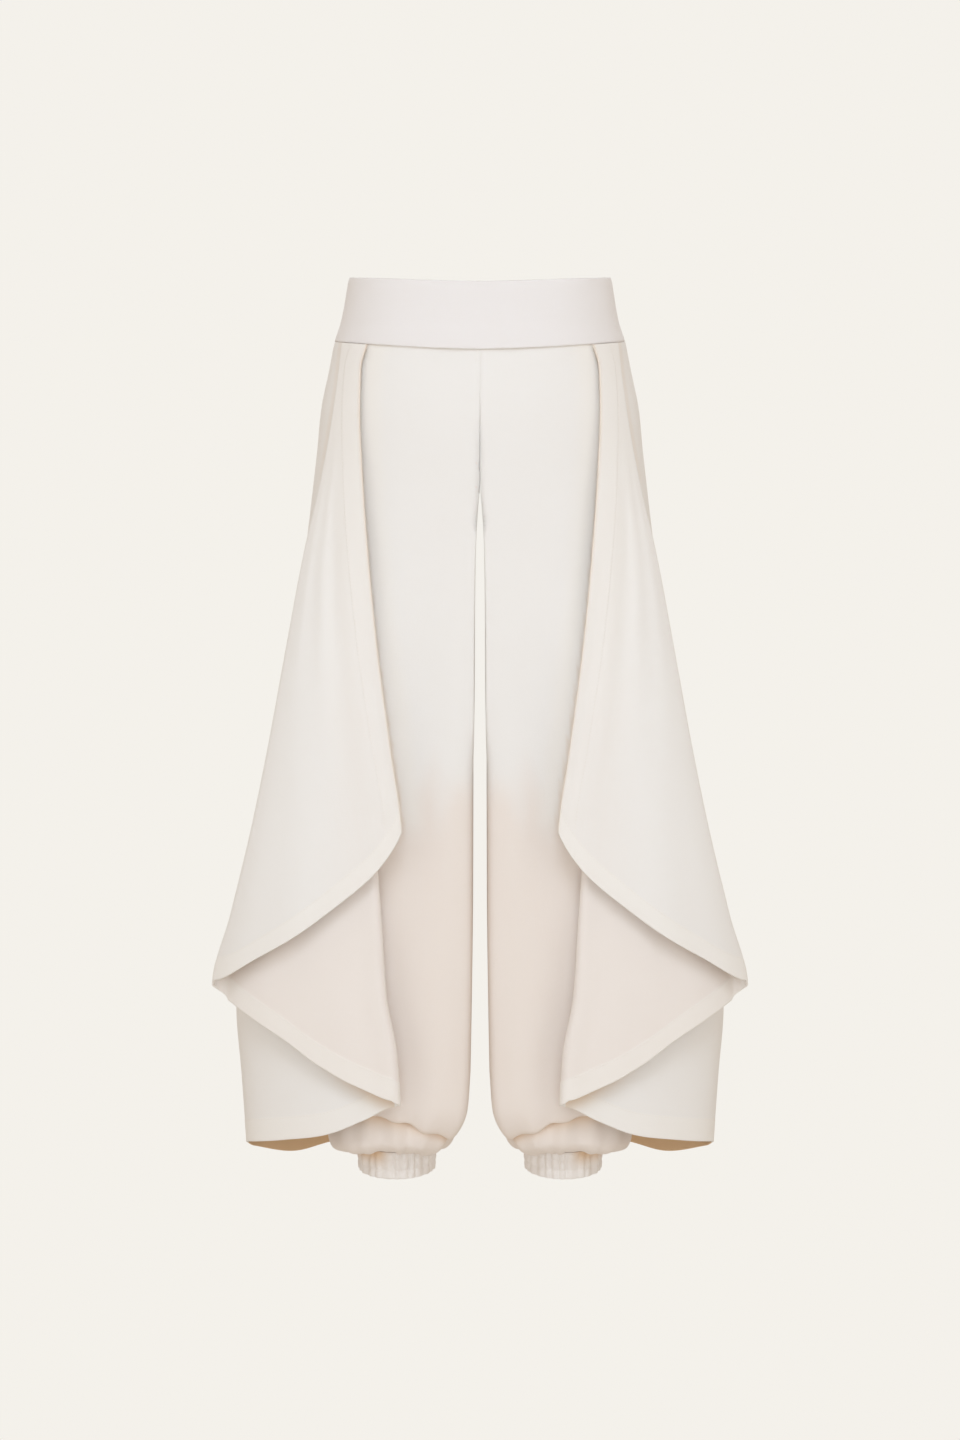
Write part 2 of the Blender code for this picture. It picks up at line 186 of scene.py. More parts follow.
BAND = Curve(
    "z half_width front back square",
    (
        (0.004, 0.1431, 0.0982, 0.0982, 2.3),
        (0.000, 0.1438, 0.0988, 0.0988, 2.3),
        (-0.048, 0.1527, 0.1065, 0.1070, 2.3),
        (-0.069, 0.1597, 0.1123, 0.1135, 2.3),
        (-0.080, 0.1630, 0.1145, 0.1160, 2.3),
    ),
)
LEG = Curve(
    "z outer gap front back oval square inner_square corner",
    (
        (-0.060, 0.1572, 0.0000, 0.1110, 0.1118, 0.0000, 2.30, 2.30, 200),
        (-0.069, 0.1588, 0.0000, 0.1116, 0.1130, 0.0000, 2.30, 2.30, 200),
        (-0.080, 0.1603, 0.0000, 0.1119, 0.1145, 0.0000, 2.30, 2.30, 200),
        (-0.100, 0.1635, 0.0001, 0.1125, 0.1170, 0.0000, 2.30, 2.30, 200),
        (-0.145, 0.1725, 0.0003, 0.1135, 0.1230, 0.0000, 2.30, 2.30, 180),
        (-0.190, 0.1760, 0.00035, 0.1130, 0.1250, 0.0010, 2.30, 2.30, 150),
        (-0.2265, 0.1770, 0.0005, 0.1120, 0.1230, 0.0050, 2.33, 2.33, 120),
        (-0.245, 0.1770, 0.0020, 0.1118, 0.1212, 0.0110, 2.35, 2.45, 110),
        (-0.300, 0.1765, 0.0046, 0.1115, 0.1160, 0.0300, 2.40, 3.00, 90),
        (-0.400, 0.1740, 0.0058, 0.1140, 0.1105, 0.0650, 2.50, 5.20, 80),
        (-0.540, 0.1720, 0.0059, 0.1165, 0.1085, 0.0885, 2.60, 11.0, 80),
        (-0.700, 0.1712, 0.0059, 0.1110, 0.1060, 0.0885, 2.60, 12.0, 70),
        (-0.880, 0.1705, 0.0075, 0.0985, 0.0990, 0.0885, 2.50, 7.50, 40),
    ),
)
OVERLAY = Curve(
    "z half_width front back square",
    (
        (-0.060, 0.1588, 0.1122, 0.1140, 2.30),
        (-0.069, 0.1605, 0.1128, 0.1147, 2.30),
        (-0.101, 0.1667, 0.1148, 0.1205, 2.30),
        (-0.145, 0.1760, 0.1160, 0.1267, 2.30),
        (-0.190, 0.1806, 0.1160, 0.1290, 2.30),
        (-0.223, 0.1845, 0.1160, 0.1280, 2.32),
        (-0.290, 0.1926, 0.1175, 0.1235, 2.40),
        (-0.374, 0.2040, 0.1210, 0.1200, 2.55),
        (-0.505, 0.2230, 0.1255, 0.1190, 2.70),
        (-0.637, 0.2450, 0.1260, 0.1180, 2.70),
        (-0.732, 0.2620, 0.1250, 0.1170, 2.60),
        (-0.821, 0.2770, 0.1240, 0.1160, 2.50),
        (-0.897, 0.2720, 0.1230, 0.1150, 2.40),
        (-0.981, 0.2670, 0.1220, 0.1140, 2.35),
        (-1.020, 0.2650, 0.1220, 0.1130, 2.35),
    ),
)
# The cascade: x is how far the free edge, the outer fold and the inner fold stand from the
# centre plane, off how far each stands out from the overlay's ring, turn a fold's half opening.
CASCADE = Curve(
    "z edge_x edge_off outer_x outer_off outer_turn inner_x inner_off inner_turn",
    (
        (-0.069, 0.1205, 0.0040, 0.1500, 0.0030, 0.0010, 0.1330, 0.0010, 0.0010),
        (-0.100, 0.1290, 0.0046, 0.1533, 0.0035, 0.0011, 0.1370, 0.0012, 0.0011),
        (-0.145, 0.1300, 0.0065, 0.1595, 0.0050, 0.0015, 0.1400, 0.0018, 0.0014),
        (-0.220, 0.1267, 0.0105, 0.1735, 0.0095, 0.0027, 0.1370, 0.0032, 0.0022),
        (-0.300, 0.1205, 0.0145, 0.1925, 0.0160, 0.0042, 0.1340, 0.0046, 0.0032),
        (-0.400, 0.1105, 0.0185, 0.2115, 0.0220, 0.0060, 0.1290, 0.0060, 0.0042),
        (-0.505, 0.0965, 0.0240, 0.2310, 0.0280, 0.0078, 0.1220, 0.0076, 0.0055),
        (-0.600, 0.0840, 0.0290, 0.2510, 0.0320, 0.0090, 0.1145, 0.0090, 0.0065),
        (-0.700, 0.0820, 0.0310, 0.2760, 0.0350, 0.0100, 0.1075, 0.0100, 0.0072),
        (-0.780, 0.0820, 0.0310, 0.2975, 0.0365, 0.0100, 0.1025, 0.0105, 0.0078),
        (-0.850, 0.0820, 0.0310, 0.2985, 0.0365, 0.0100, 0.0905, 0.0110, 0.0082),
        (-0.910, 0.0820, 0.0310, 0.2985, 0.0365, 0.0100, 0.0875, 0.0110, 0.0082),
    ),
)
# Height of the overlay's hem: along counts the stretches, 0 to 1 being the front layer.
HEM_LINE = Curve(
    "along z",
    (
        (0.00, -0.5960),
        (0.05, -0.6085),
        (0.20, -0.6362),
        (0.50, -0.6815),
        (0.80, -0.7370),
        (1.00, -0.7740),
        (1.50, -0.7870),
        (2.00, -0.7990),
        (2.10, -0.8070),
        (2.30, -0.8300),
        (2.50, -0.8590),
        (2.70, -0.8790),
        (3.00, -0.8970),
        (3.50, -0.9042),
        (4.00, -0.9083),
        (4.20, -0.9258),
        (4.40, -0.9445),
        (4.60, -0.9560),
        (5.00, -0.9815),
        (5.10, -0.9940),
        (5.30, -1.0122),
        (5.45, -1.0050),
        (6.00, -1.0000),
    ),
)


# ---------------------------------------------------------------------------------- sheets


def facing(grid: Array, closed: bool = False) -> tuple[Array, Array, Array]:
    """Unit normals of a grid, and its steps across and down.

    The normal is the cross product of the step down and the step across.

    Args:
        grid: Points, rows by columns by 3.
        closed: Whether the last column joins the first.

    Returns:
        The normals, the steps across and the steps down.
    """
    if closed:
        across = np.roll(grid, -1, axis=1) - np.roll(grid, 1, axis=1)
    else:
        across = np.gradient(grid, axis=1)
    down = np.gradient(grid, axis=0)
    return unit(np.cross(down, across)), across, down


def unit(vectors: Array) -> Array:
    """Vectors divided by their lengths."""
    return vectors / np.maximum(np.linalg.norm(vectors, axis=-1, keepdims=True), 1e-12)


def run_length(grid: Array, axis: int) -> Array:
    """Distance along the grid from its first row or column: the running sum of its steps.

    Args:
        grid: Points, with their coordinates on the last axis.
        axis: The axis to run along.

    Returns:
        The distance at each point.
    """
    steps = np.linalg.norm(np.diff(grid, axis=axis), axis=-1)
    start = np.zeros_like(np.take(steps, [0], axis=axis))
    return np.cumsum(np.concatenate([start, steps], axis=axis), axis=axis)


@dataclass
class Sheet:
    """A sheet of cloth: its middle surface on a grid, its wall and what its finish reads."""

    middle: Array
    wall: Array
    hem: Array
    shade: Array
    closed: bool = False
    # depth is painted shade: how far each place's colour goes to the dark warm painted shade colour
    depth: Array | None = None
    painted_shade_outside: float = 1.0  # share of the painted shade that shows on the outer face

    def lift(self, height: Array) -> None:
        """Moves each point along its normal by a height."""
        normal, _, _ = facing(self.middle, self.closed)
        self.middle = self.middle + normal * np.asarray(height)[..., None]

    def loops(self) -> list[Array]:
        """Index loops round the sheet's free edges, in the direction of its outer faces.

        Returns:
            One loop round an open sheet, or its top and bottom loops where it is closed.
        """
        rows, columns = self.middle.shape[:2]
        index = np.arange(rows * columns).reshape(rows, columns)
        if self.closed:
            return [index[0, ::-1], index[-1]]
        return [np.hstack([index[:-1, 0], index[-1, :-1], index[:0:-1, -1], index[0, :0:-1]])]

    def shell(self) -> tuple[Array, Array, Array]:
        """Walls the sheet into a closed body with a rounded rim.

        The outer and inner surfaces stand half the wall from the middle along its normal. Three
        rings join their edges: the edge point plus half the wall times the cosine of the ring's
        angle along the normal, and the rim times its sine away from the sheet.

        Returns:
            The points, the four corners of each face, and each point's place on the grid.
        """
        rows, columns = self.middle.shape[:2]
        normal, across, down = facing(self.middle, self.closed)
        half = self.wall[..., None] / 2
        index = np.arange(rows * columns).reshape(rows, columns)
        if self.closed:
            index = np.hstack([index, index[:, :1]])
        quads = np.stack([index[:-1, :-1], index[1:, :-1], index[1:, 1:], index[:-1, 1:]], axis=-1)
        quads = quads.reshape(-1, 4)
        count = rows * columns
        points = [(self.middle + normal * half).reshape(-1, 3)]
        points.append((self.middle - normal * half).reshape(-1, 3))
        faces = [quads, quads[:, ::-1] + count]
        source = [np.arange(count), np.arange(count)]

        away = np.zeros_like(self.middle)
        away[0] -= unit(down[0])
        away[-1] += unit(down[-1])
        if not self.closed:
            away[:, 0] -= unit(across[:, 0])
            away[:, -1] += unit(across[:, -1])
        away = unit(away).reshape(-1, 3)
        flat, out, wall = self.middle.reshape(-1, 3), normal.reshape(-1, 3), half.reshape(-1, 1)
        total = 2 * count
        for loop in self.loops():
            rings = [loop]
            for angle in np.pi * np.array([0.25, 0.5, 0.75]):
                lean = out[loop] * wall[loop] * np.cos(angle) + away[loop] * RIM * np.sin(angle)
                points.append(flat[loop] + lean)
                source.append(loop)
                rings.append(total + np.arange(len(loop)))
                total += len(loop)
            rings.append(loop + count)
            for a, b in zip(rings[:-1], rings[1:]):
                faces.append(np.stack([np.roll(a, -1), a, b, np.roll(b, -1)], axis=-1))
        return np.concatenate(points), np.concatenate(faces), np.concatenate(source)

    def area(self) -> float:
        """Area of the middle surface: half the sum of the cross products of its quads' diagonals.

        Returns:
            The area in square metres.
        """
        grid = self.middle
        if self.closed:
            grid = np.concatenate([grid, grid[:, :1]], axis=1)
        first, second = grid[1:, 1:] - grid[:-1, :-1], grid[1:, :-1] - grid[:-1, 1:]
        return float(np.linalg.norm(np.cross(first, second), axis=-1).sum() / 2)

    def flat(self) -> tuple[float, float]:
        """Size of the cut: the longest way across the grid and the longest way down it.

        Returns:
            The width and the length in metres.
        """
        grid = self.middle
        if self.closed:
            grid = np.concatenate([grid, grid[:, :1]], axis=1)
        return float(run_length(grid, 1).max()), float(run_length(grid, 0).max())

    def make(self, name: str, hand: Hand, finish: bpy.types.Material) -> bpy.types.Object:
        """Makes the mesh and its object.

        Its UV map and attributes come from the grid: the UV map is the distance across and down
        the cloth in metres, hem is 1 on a turned hem and also carries painted highlights, shade
        moves the colour to a darker, warmer tone, on the lower legs a painted shade, and depth
        is how much painted shade a place carries in its folds and hollows.

        Args:
            name: The piece's name.
            hand: RIGHT mirrors the sheet in the centre plane.
            finish: The piece's material.

        Returns:
            The piece.
        """
        points, faces, source = self.shell()
        if hand is Hand.RIGHT:
            points = points * np.array([-1, 1, 1])
            faces = faces[:, ::-1]
        place = np.stack([run_length(self.middle, 1), run_length(self.middle, 0)], axis=-1)
        mesh = mesh_of(name, points, faces)
        uv = mesh.uv_layers.new(name="cloth")
        uv.data.foreach_set("uv", place.reshape(-1, 2)[source][faces.ravel()].ravel())
        count = self.shade.size
        inside = np.full(len(source), 0.5)
        inside[:count] = 0
        inside[count : 2 * count] = 1
        depth = np.zeros(count) if self.depth is None else self.depth.reshape(-1)
        depth = depth[source] * np.where(inside == 0, self.painted_shade_outside, 1.0)
        attributes = (
            ("depth", depth),
            ("hem", self.hem.reshape(-1)[source]),
            ("shade", self.shade.reshape(-1)[source]),
            ("wrong_side", inside),
        )
        for label, values in attributes:
            layer = mesh.attributes.new(label, "FLOAT", "POINT")
            layer.data.foreach_set("value", values.astype(np.float32))
        return piece_of(mesh, finish)


def mesh_of(name: str, points: Array, faces: Array) -> bpy.types.Mesh:
    """A mesh of four-sided faces, shaded smooth.

    Args:
        name: The mesh's name.
        points: Its points.
        faces: The four corners of each face.

    Returns:
        The mesh.
    """
    mesh = bpy.data.meshes.new(name)
    mesh.vertices.add(len(points))
    mesh.vertices.foreach_set("co", points.astype(np.float32).ravel())
    mesh.loops.add(faces.size)
    mesh.loops.foreach_set("vertex_index", faces.astype(np.int32).ravel())
    mesh.polygons.add(len(faces))
    mesh.polygons.foreach_set("loop_start", np.arange(0, faces.size, 4, dtype=np.int32))
    mesh.update(calc_edges=True)
    mesh.shade_smooth()
    return mesh


def piece_of(mesh: bpy.types.Mesh, finish: bpy.types.Material) -> bpy.types.Object:
    """An object at the origin for a mesh, with its material, in the scene.

    Args:
        mesh: The mesh, which gives the object its name.
        finish: Its material.

    Returns:
        The object.
    """
    piece = bpy.data.objects.new(mesh.name, mesh)
    bpy.context.scene.collection.objects.link(piece)
    mesh.materials.append(finish)
    return piece


# -------------------------------------------------------------------------------- finishes


@dataclass
class Value:
    """A number that varies over the surface, whose sums and products add Math nodes."""

    graph: "Graph"
    socket: Any

    def _with(self, operation: str, first: Any, second: Any = 0.0) -> "Value":
        """A Math node of one operation on values or numbers."""
        node = self.graph.add("ShaderNodeMath", {"operation": operation}, {0: first, 1: second})
        return Value(self.graph, node.outputs[0])

    def __add__(self, other: Any) -> "Value":
        """This plus other."""
        return self._with("ADD", self, other)

    __radd__ = __add__

    def __sub__(self, other: Any) -> "Value":
        """This less other."""
        return self._with("SUBTRACT", self, other)

    def __rsub__(self, other: Any) -> "Value":
        """Other less this."""
        return self._with("SUBTRACT", other, self)

    def __mul__(self, other: Any) -> "Value":
        """This times other."""
        return self._with("MULTIPLY", self, other)

    __rmul__ = __mul__

    def sine(self) -> "Value":
        """The sine of this."""
        return self._with("SINE", self)

    def between(self, low: float, high: float) -> "Value":
        """0 at low to 1 at high, with level ends.

        Args:
            low: Where it starts to rise.
            high: Where it reaches 1.

        Returns:
            The value.
        """
        settings = {"interpolation_type": "SMOOTHSTEP"}
        node = self.graph.add("ShaderNodeMapRange", settings, {0: self, 1: low, 2: high, 3: 0.0, 4: 1.0})
        return Value(self.graph, node.outputs[0])


class Graph:
    """The nodes of one material."""

    def __init__(self, name: str) -> None:
        """Starts a material with its Principled shader.

        Args:
            name: The material's name.
        """
        self.material = bpy.data.materials.new(name)
        self.material.use_nodes = True
        self.tree = self.material.node_tree
        self.shader = self.tree.nodes["Principled BSDF"]

    def add(self, kind: str, settings: dict[str, Any], inputs: dict[Any, Any]) -> bpy.types.Node:
        """Adds a node.

        Args:
            kind: The node's type.
            settings: Properties, which are set first.
            inputs: The values or links of its sockets, by name or number.

        Returns:
            The node.
        """
        node = self.tree.nodes.new(kind)
        for name, value in settings.items():
            setattr(node, name, value)
        for key, value in inputs.items():
            self.feed(node.inputs[key], value)
        return node

    def feed(self, socket: bpy.types.NodeSocket, value: Any) -> None:
        """Links a Value or a socket to a socket, or sets the socket's own number or colour.

        Args:
            socket: The socket that is fed.
            value: A Value, another socket, a number or a colour.
        """
        if isinstance(value, Value):
            value = value.socket
        if isinstance(value, bpy.types.NodeSocket):
            self.tree.links.new(value, socket)
        else:
            socket.default_value = value

    def attribute(self, name: str) -> Value:
        """A number stored on the piece's points."""
        node = self.add("ShaderNodeAttribute", {"attribute_name": name}, {})
        return Value(self, node.outputs["Fac"])

    def noise(self, place: Any, scale: float, detail: float = 2.0) -> Value:
        """Soft noise, 0 to 1, with scale lumps in a metre of place."""
        inputs = {"Vector": place, "Scale": scale, "Detail": detail, "Roughness": 0.5}
        return Value(self, self.add("ShaderNodeTexNoise", {}, inputs).outputs[0])

    def mix(self, share: Any, first: Any, second: Any) -> bpy.types.NodeSocket:
        """A colour between two: the first at share 0 and the second at 1."""
        node = self.add("ShaderNodeMix", {"data_type": "RGBA"}, {0: share, 6: first, 7: second})
        return node.outputs[2]

    def stretched(self, place: Any, by: tuple[float, float, float]) -> bpy.types.NodeSocket:
        """A place with each axis multiplied."""
        node = self.add("ShaderNodeVectorMath", {"operation": "MULTIPLY"}, {0: place, 1: by})
        return node.outputs[0]


@dataclass(frozen=True)
class Crepe:
    """Fine matt crepe: warp and weft of uneven yarn, a little fuzz, paler where it is doubled, with
    painted highlights and painted shade.
    """

    name: str
    cloth: tuple[float, float, float]
    shaded: tuple[float, float, float]
    doubled: tuple[float, float, float]
    wrong_side: tuple[float, float, float]
    # colour of the painted shade in folds, hollows and shadowed insides
    painted_shade: tuple[float, float, float] = (0.70, 0.46, 0.24)
    thread: float = 0.0009
    relief: float = 0.00025
    roughness: float = 0.88
    sheen: float = 0.18

    def material(self) -> bpy.types.Material:
        """Builds the nodes.

        The colour goes from cloth to shaded with the attribute shade, a broad noise and slubs,
        which on the lower legs is painted shade, then to the wrong side's with wrong_side, to
        doubled with hem, which also carries painted highlights, and to the dark warm painted
        shade colour with depth, which paints shade into folds and hollows. The relief is the
        product of warp and weft, each the sine of the place over the thread's spacing and a
        wandering phase, plus noise drawn out along each of them and broad noise.

        Returns:
            The material.
        """
        graph = Graph(self.name)
        place = graph.add("ShaderNodeUVMap", {"uv_map": "cloth"}, {}).outputs[0]
        parts = graph.add("ShaderNodeSeparateXYZ", {}, {0: place})
        across, down = Value(graph, parts.outputs[0]), Value(graph, parts.outputs[1])
        turn = 2 * math.pi / self.thread
        warp = graph.noise(graph.stretched(place, (1.0, 0.06, 1.0)), 900.0)
        weft = graph.noise(graph.stretched(place, (0.06, 1.0, 1.0)), 900.0)
        weave = (across * turn + warp * 2.0).sine() * (down * turn + weft * 2.0).sine()
        cloud = graph.noise(place, 14.0, 3.0)
        slub = graph.noise(graph.stretched(place, (1.0, 0.05, 1.0)), 160.0)

        shade = graph.attribute("shade") + (cloud - 0.5) * 0.16 + (slub - 0.5) * 0.10
        face = graph.mix(shade.between(0.0, 1.0), (*self.cloth, 1.0), (*self.shaded, 1.0))
        tone = graph.mix(graph.attribute("wrong_side"), face, (*self.wrong_side, 1.0))
        # hem pales the colour where the cloth is doubled and where a highlight is painted
        tone = graph.mix(graph.attribute("hem") * 0.6, tone, (*self.doubled, 1.0))
        # painted shade: depth moves the colour towards the dark warm painted shade colour
        colour = graph.mix(graph.attribute("depth"), tone, (*self.painted_shade, 1.0))
        graph.feed(graph.shader.inputs["Base Color"], colour)
        graph.feed(graph.shader.inputs["Roughness"], self.roughness + (slub - 0.5) * 0.08)
        height = weave * 0.35 + (warp + weft) * 0.9 + cloud * 0.6
        inputs = {"Strength": 0.35, "Distance": self.relief, "Height": height}
        relief = graph.add("ShaderNodeBump", {}, inputs)
        graph.feed(graph.shader.inputs["Normal"], relief.outputs[0])
        graph.feed(graph.shader.inputs["Sheen Weight"], self.sheen)
        graph.feed(graph.shader.inputs["Sheen Roughness"], 0.5)
        graph.feed(graph.shader.inputs["Specular IOR Level"], 0.25)
        return graph.material


@dataclass(frozen=True)
class Thread:
    """Sewing thread in the cloth's own cream, with its twist as fine slanting ridges."""

    name: str = "sewing_thread"
    colour: tuple[float, float, float] = (0.84, 0.79, 0.73)
    twist: float = 0.0006

    def material(self) -> bpy.types.Material:
        """Builds the nodes: the twist is the sine of the summed coordinates over its pitch.

        Returns:
            The material.
        """
        graph = Graph(self.name)
        place = graph.add("ShaderNodeTexCoord", {}, {}).outputs["Object"]
        parts = graph.add("ShaderNodeSeparateXYZ", {}, {0: place})
        slant = Value(graph, parts.outputs[0]) + Value(graph, parts.outputs[2])
        ridge = (slant * (2 * math.pi / self.twist)).sine()
        paler = tuple(min(1.0, c * 1.04) for c in self.colour)
        # painted highlight: the crests of the twist's ridges are painted paler
        colour = graph.mix(ridge * 0.5 + 0.5, (*self.colour, 1.0), (*paler, 1.0))
        graph.feed(graph.shader.inputs["Base Color"], colour)
        inputs = {"Strength": 0.4, "Distance": 0.0001, "Height": ridge}
        graph.feed(graph.shader.inputs["Normal"], graph.add("ShaderNodeBump", {}, inputs).outputs[0])
        graph.feed(graph.shader.inputs["Roughness"], 0.6)
        return graph.material


# ---------------------------------------------------------------------------------- pieces


def oval(angle: Array, form: dict[str, Array]) -> tuple[Array, Array, Array, Array]:
    """Points and outward normals of a superellipse at angles from the front towards +X.

    The reach makes the powers of side over half width and of depth over front or back sum to 1.

    Args:
        angle: Round the ring, 0 at the front.
        form: half_width, front, back and square, the power.

    Returns:
        x, y and the normal's x and y.
    """
    side, ahead = np.sin(angle), np.cos(angle)
    depth = np.where(ahead > 0, form["front"], form["back"])
    half, power = form["half_width"], form["square"]
    reach = (np.abs(side / half) ** power + np.abs(ahead / depth) ** power) ** (-1 / power)
    x, y = reach * side, -reach * ahead
    nx = np.sign(x) * np.abs(x / half) ** (power - 1) / half
    ny = np.sign(y) * np.abs(y / depth) ** (power - 1) / depth
    size = np.hypot(nx, ny)
    return x, y, nx / size, ny / size


def spread(*parts: tuple[float, float, int]) -> Array:
    """Evenly spaced values in several runs, each given as its start, its end and its steps."""
    runs = [np.linspace(start, end, steps, endpoint=False) for start, end, steps in parts]
    return np.hstack([*runs, parts[-1][1]])


def declare(
    piece: bpy.types.Object,
    node: str,
    sheet: Sheet,
) -> None:
    """Rides a piece of cloth on the root, puts it in its node's place and states its cut.

    Args:
        piece: The finished piece.
        node: The CAD node that it stands for.
        sheet: The sheet of cloth, whose cut is measured on its grid.
    """
    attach(piece, "root")
    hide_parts(node)
    flat, area = sheet.flat(), sheet.area()
    log.info("%s: %d faces", piece.name, len(piece.data.polygons))
    log.info("cut %.3f by %.3f m, %.4f m2", *flat, area)


@dataclass(frozen=True)
class Waistband:
    """The wide plain band, a front and a back half."""

    wall: float = 0.0024
    edge_roll: float = 0.0009  # how far its edges turn in
    unevenness: float = 0.00035
    columns: int = 120
    rows: int = 26

    def sheet(self, side: Side) -> Sheet:
        """The half band: a ring whose height runs between its two dipping edges.

        Args:
            side: Which half.

        Returns:
            The sheet, which turns in towards its edges and has slight unevenness.
        """
        quarter = np.linspace(-np.pi / 2, np.pi / 2, self.columns)
        angle = quarter if side is Side.FRONT else np.pi + quarter
        share = np.linspace(0, 1, self.rows)[:, None]
        share = share - 0.06 * np.sin(2 * np.pi * share)
        top = -TOP_DIP.at(angle)
        bottom = -BAND_DEPTH - SEAM_DIP.at(angle)
        heights = top + (bottom - top) * share
        angle = angle + 0 * heights
        x, y, _, _ = oval(angle, BAND.at(heights))
        middle = np.stack([x, y + side.value * SEAM / 2, heights], axis=-1)
        wall = np.full(heights.shape, self.wall)
        sheet = Sheet(middle, wall, np.zeros_like(wall), np.full_like(wall, 0.1))
        down = (top - heights) + 0 * heights
        up = heights - bottom
        side_gap = (np.pi / 2 - np.abs(quarter)) * 0.15 + 0 * heights
        roll = bump(down / 0.003) * 0.8 + bump(up / 0.0022) * 0.3 + bump(side_gap / 0.002) * 0.8
        uneven = self.unevenness * ripple(0.15 * angle, heights, 0.09, 0.2, 3)
        sheet.lift(uneven - self.edge_roll * roll)
        return sheet

    def build(self, finish: bpy.types.Material) -> None:
        """Makes both halves.

        Args:
            finish: The band's crepe.
        """
        for side in Side:
            node = f"waistband_{side.name.lower()}"
            sheet = self.sheet(side)
            piece = sheet.make(f"band_{side.name.lower()}", Hand.LEFT, finish)
            declare(piece, node, sheet)


@dataclass(frozen=True)
class Cuff:
    """The gathered cuff of one leg."""

    top: float = -0.9785
    end: float = -1.0096
    centre: float = 0.0955
    half_width: float = 0.0428
    half_depth: float = 0.0535
    gathers: int = 26
    depth: float = 0.0016
    pinch: float = 0.0008  # how far each row of elastic pulls the cloth in
    # strength of the painted shadow on the cuff's upper outer part, under the blouse
    painted_shadow: float = 0.85
    wall: float = 0.0016
    rows: int = 22

    def ring(self, angle: Array, z: Array, lift: Array) -> Array:
        """Points round the cuff, on an oval whose half axes are both lengthened by the lift.

        Args:
            angle: Round the cuff, 0 at its front.
            z: Height.
            lift: How far the points stand out from the oval.

        Returns:
            The points.
        """
        x = self.centre + (self.half_width + lift) * np.sin(angle)
        y = -(self.half_depth + lift) * np.cos(angle)
        return np.stack([x, y, z + 0 * x], axis=-1)

    def wave(self, angle: Array) -> Array:
        """The gathers: the cosine of their number times an angle that runs unevenly."""
        uneven = 0.045 * np.sin(3 * angle + 1) + 0.03 * np.sin(7 * angle + 2) + 0.02 * np.sin(11 * angle)
        return np.cos(self.gathers * (angle + uneven))

    def sheet(self) -> Sheet:
        """The cuff's ring, pinched by two rows of elastic and loose between them.

        Returns:
            The sheet, closed round the ankle.
        """
        angle = np.arange(12 * self.gathers) * np.pi / (6 * self.gathers)
        share = np.linspace(0, 1, self.rows)[:, None]
        z = self.top - SEAM + (self.end - self.top + SEAM) * share
        wave = self.wave(angle + 0.02 * np.sin(5 * angle) * (share - 0.5))
        crest = 0.5 + 0.5 * wave
        size = self.depth * (0.6 + 0.75 * np.sin(np.pi * np.clip(share, 0, 1)) ** 1.2)
        single = 0.75 + 0.35 * np.sin(4 * angle + 0.5) * np.cos(9 * angle)
        lift = size * single * (2 * crest**0.75 - 1)
        hug = self.pinch * (bump((share - 0.3) / 0.07) + bump((share - 0.68) / 0.07))
        middle = self.ring(angle + 0 * z, z, lift - hug)
        wall = np.full(middle.shape[:2], self.wall)
        hem = np.zeros_like(wall)
        sheet = Sheet(middle, wall, hem, np.full_like(wall, 0.35), closed=True)
        # painted shadow on the cuff's top, on its outer side, where the blouse overhangs it
        sheet.depth = self.painted_shadow * bump(share / 0.42) * smooth((np.sin(angle) - 0.05) / 0.5)
        return sheet

    def build(self, finish: bpy.types.Material) -> None:
        """Makes both cuffs.

        Args:
            finish: The crepe.
        """
        for hand in Hand:
            node = f"cuff_{hand.name.lower()}"
            sheet = self.sheet()
            piece = sheet.make(f"gathered_{node}", hand, finish)
            declare(piece, node, sheet)


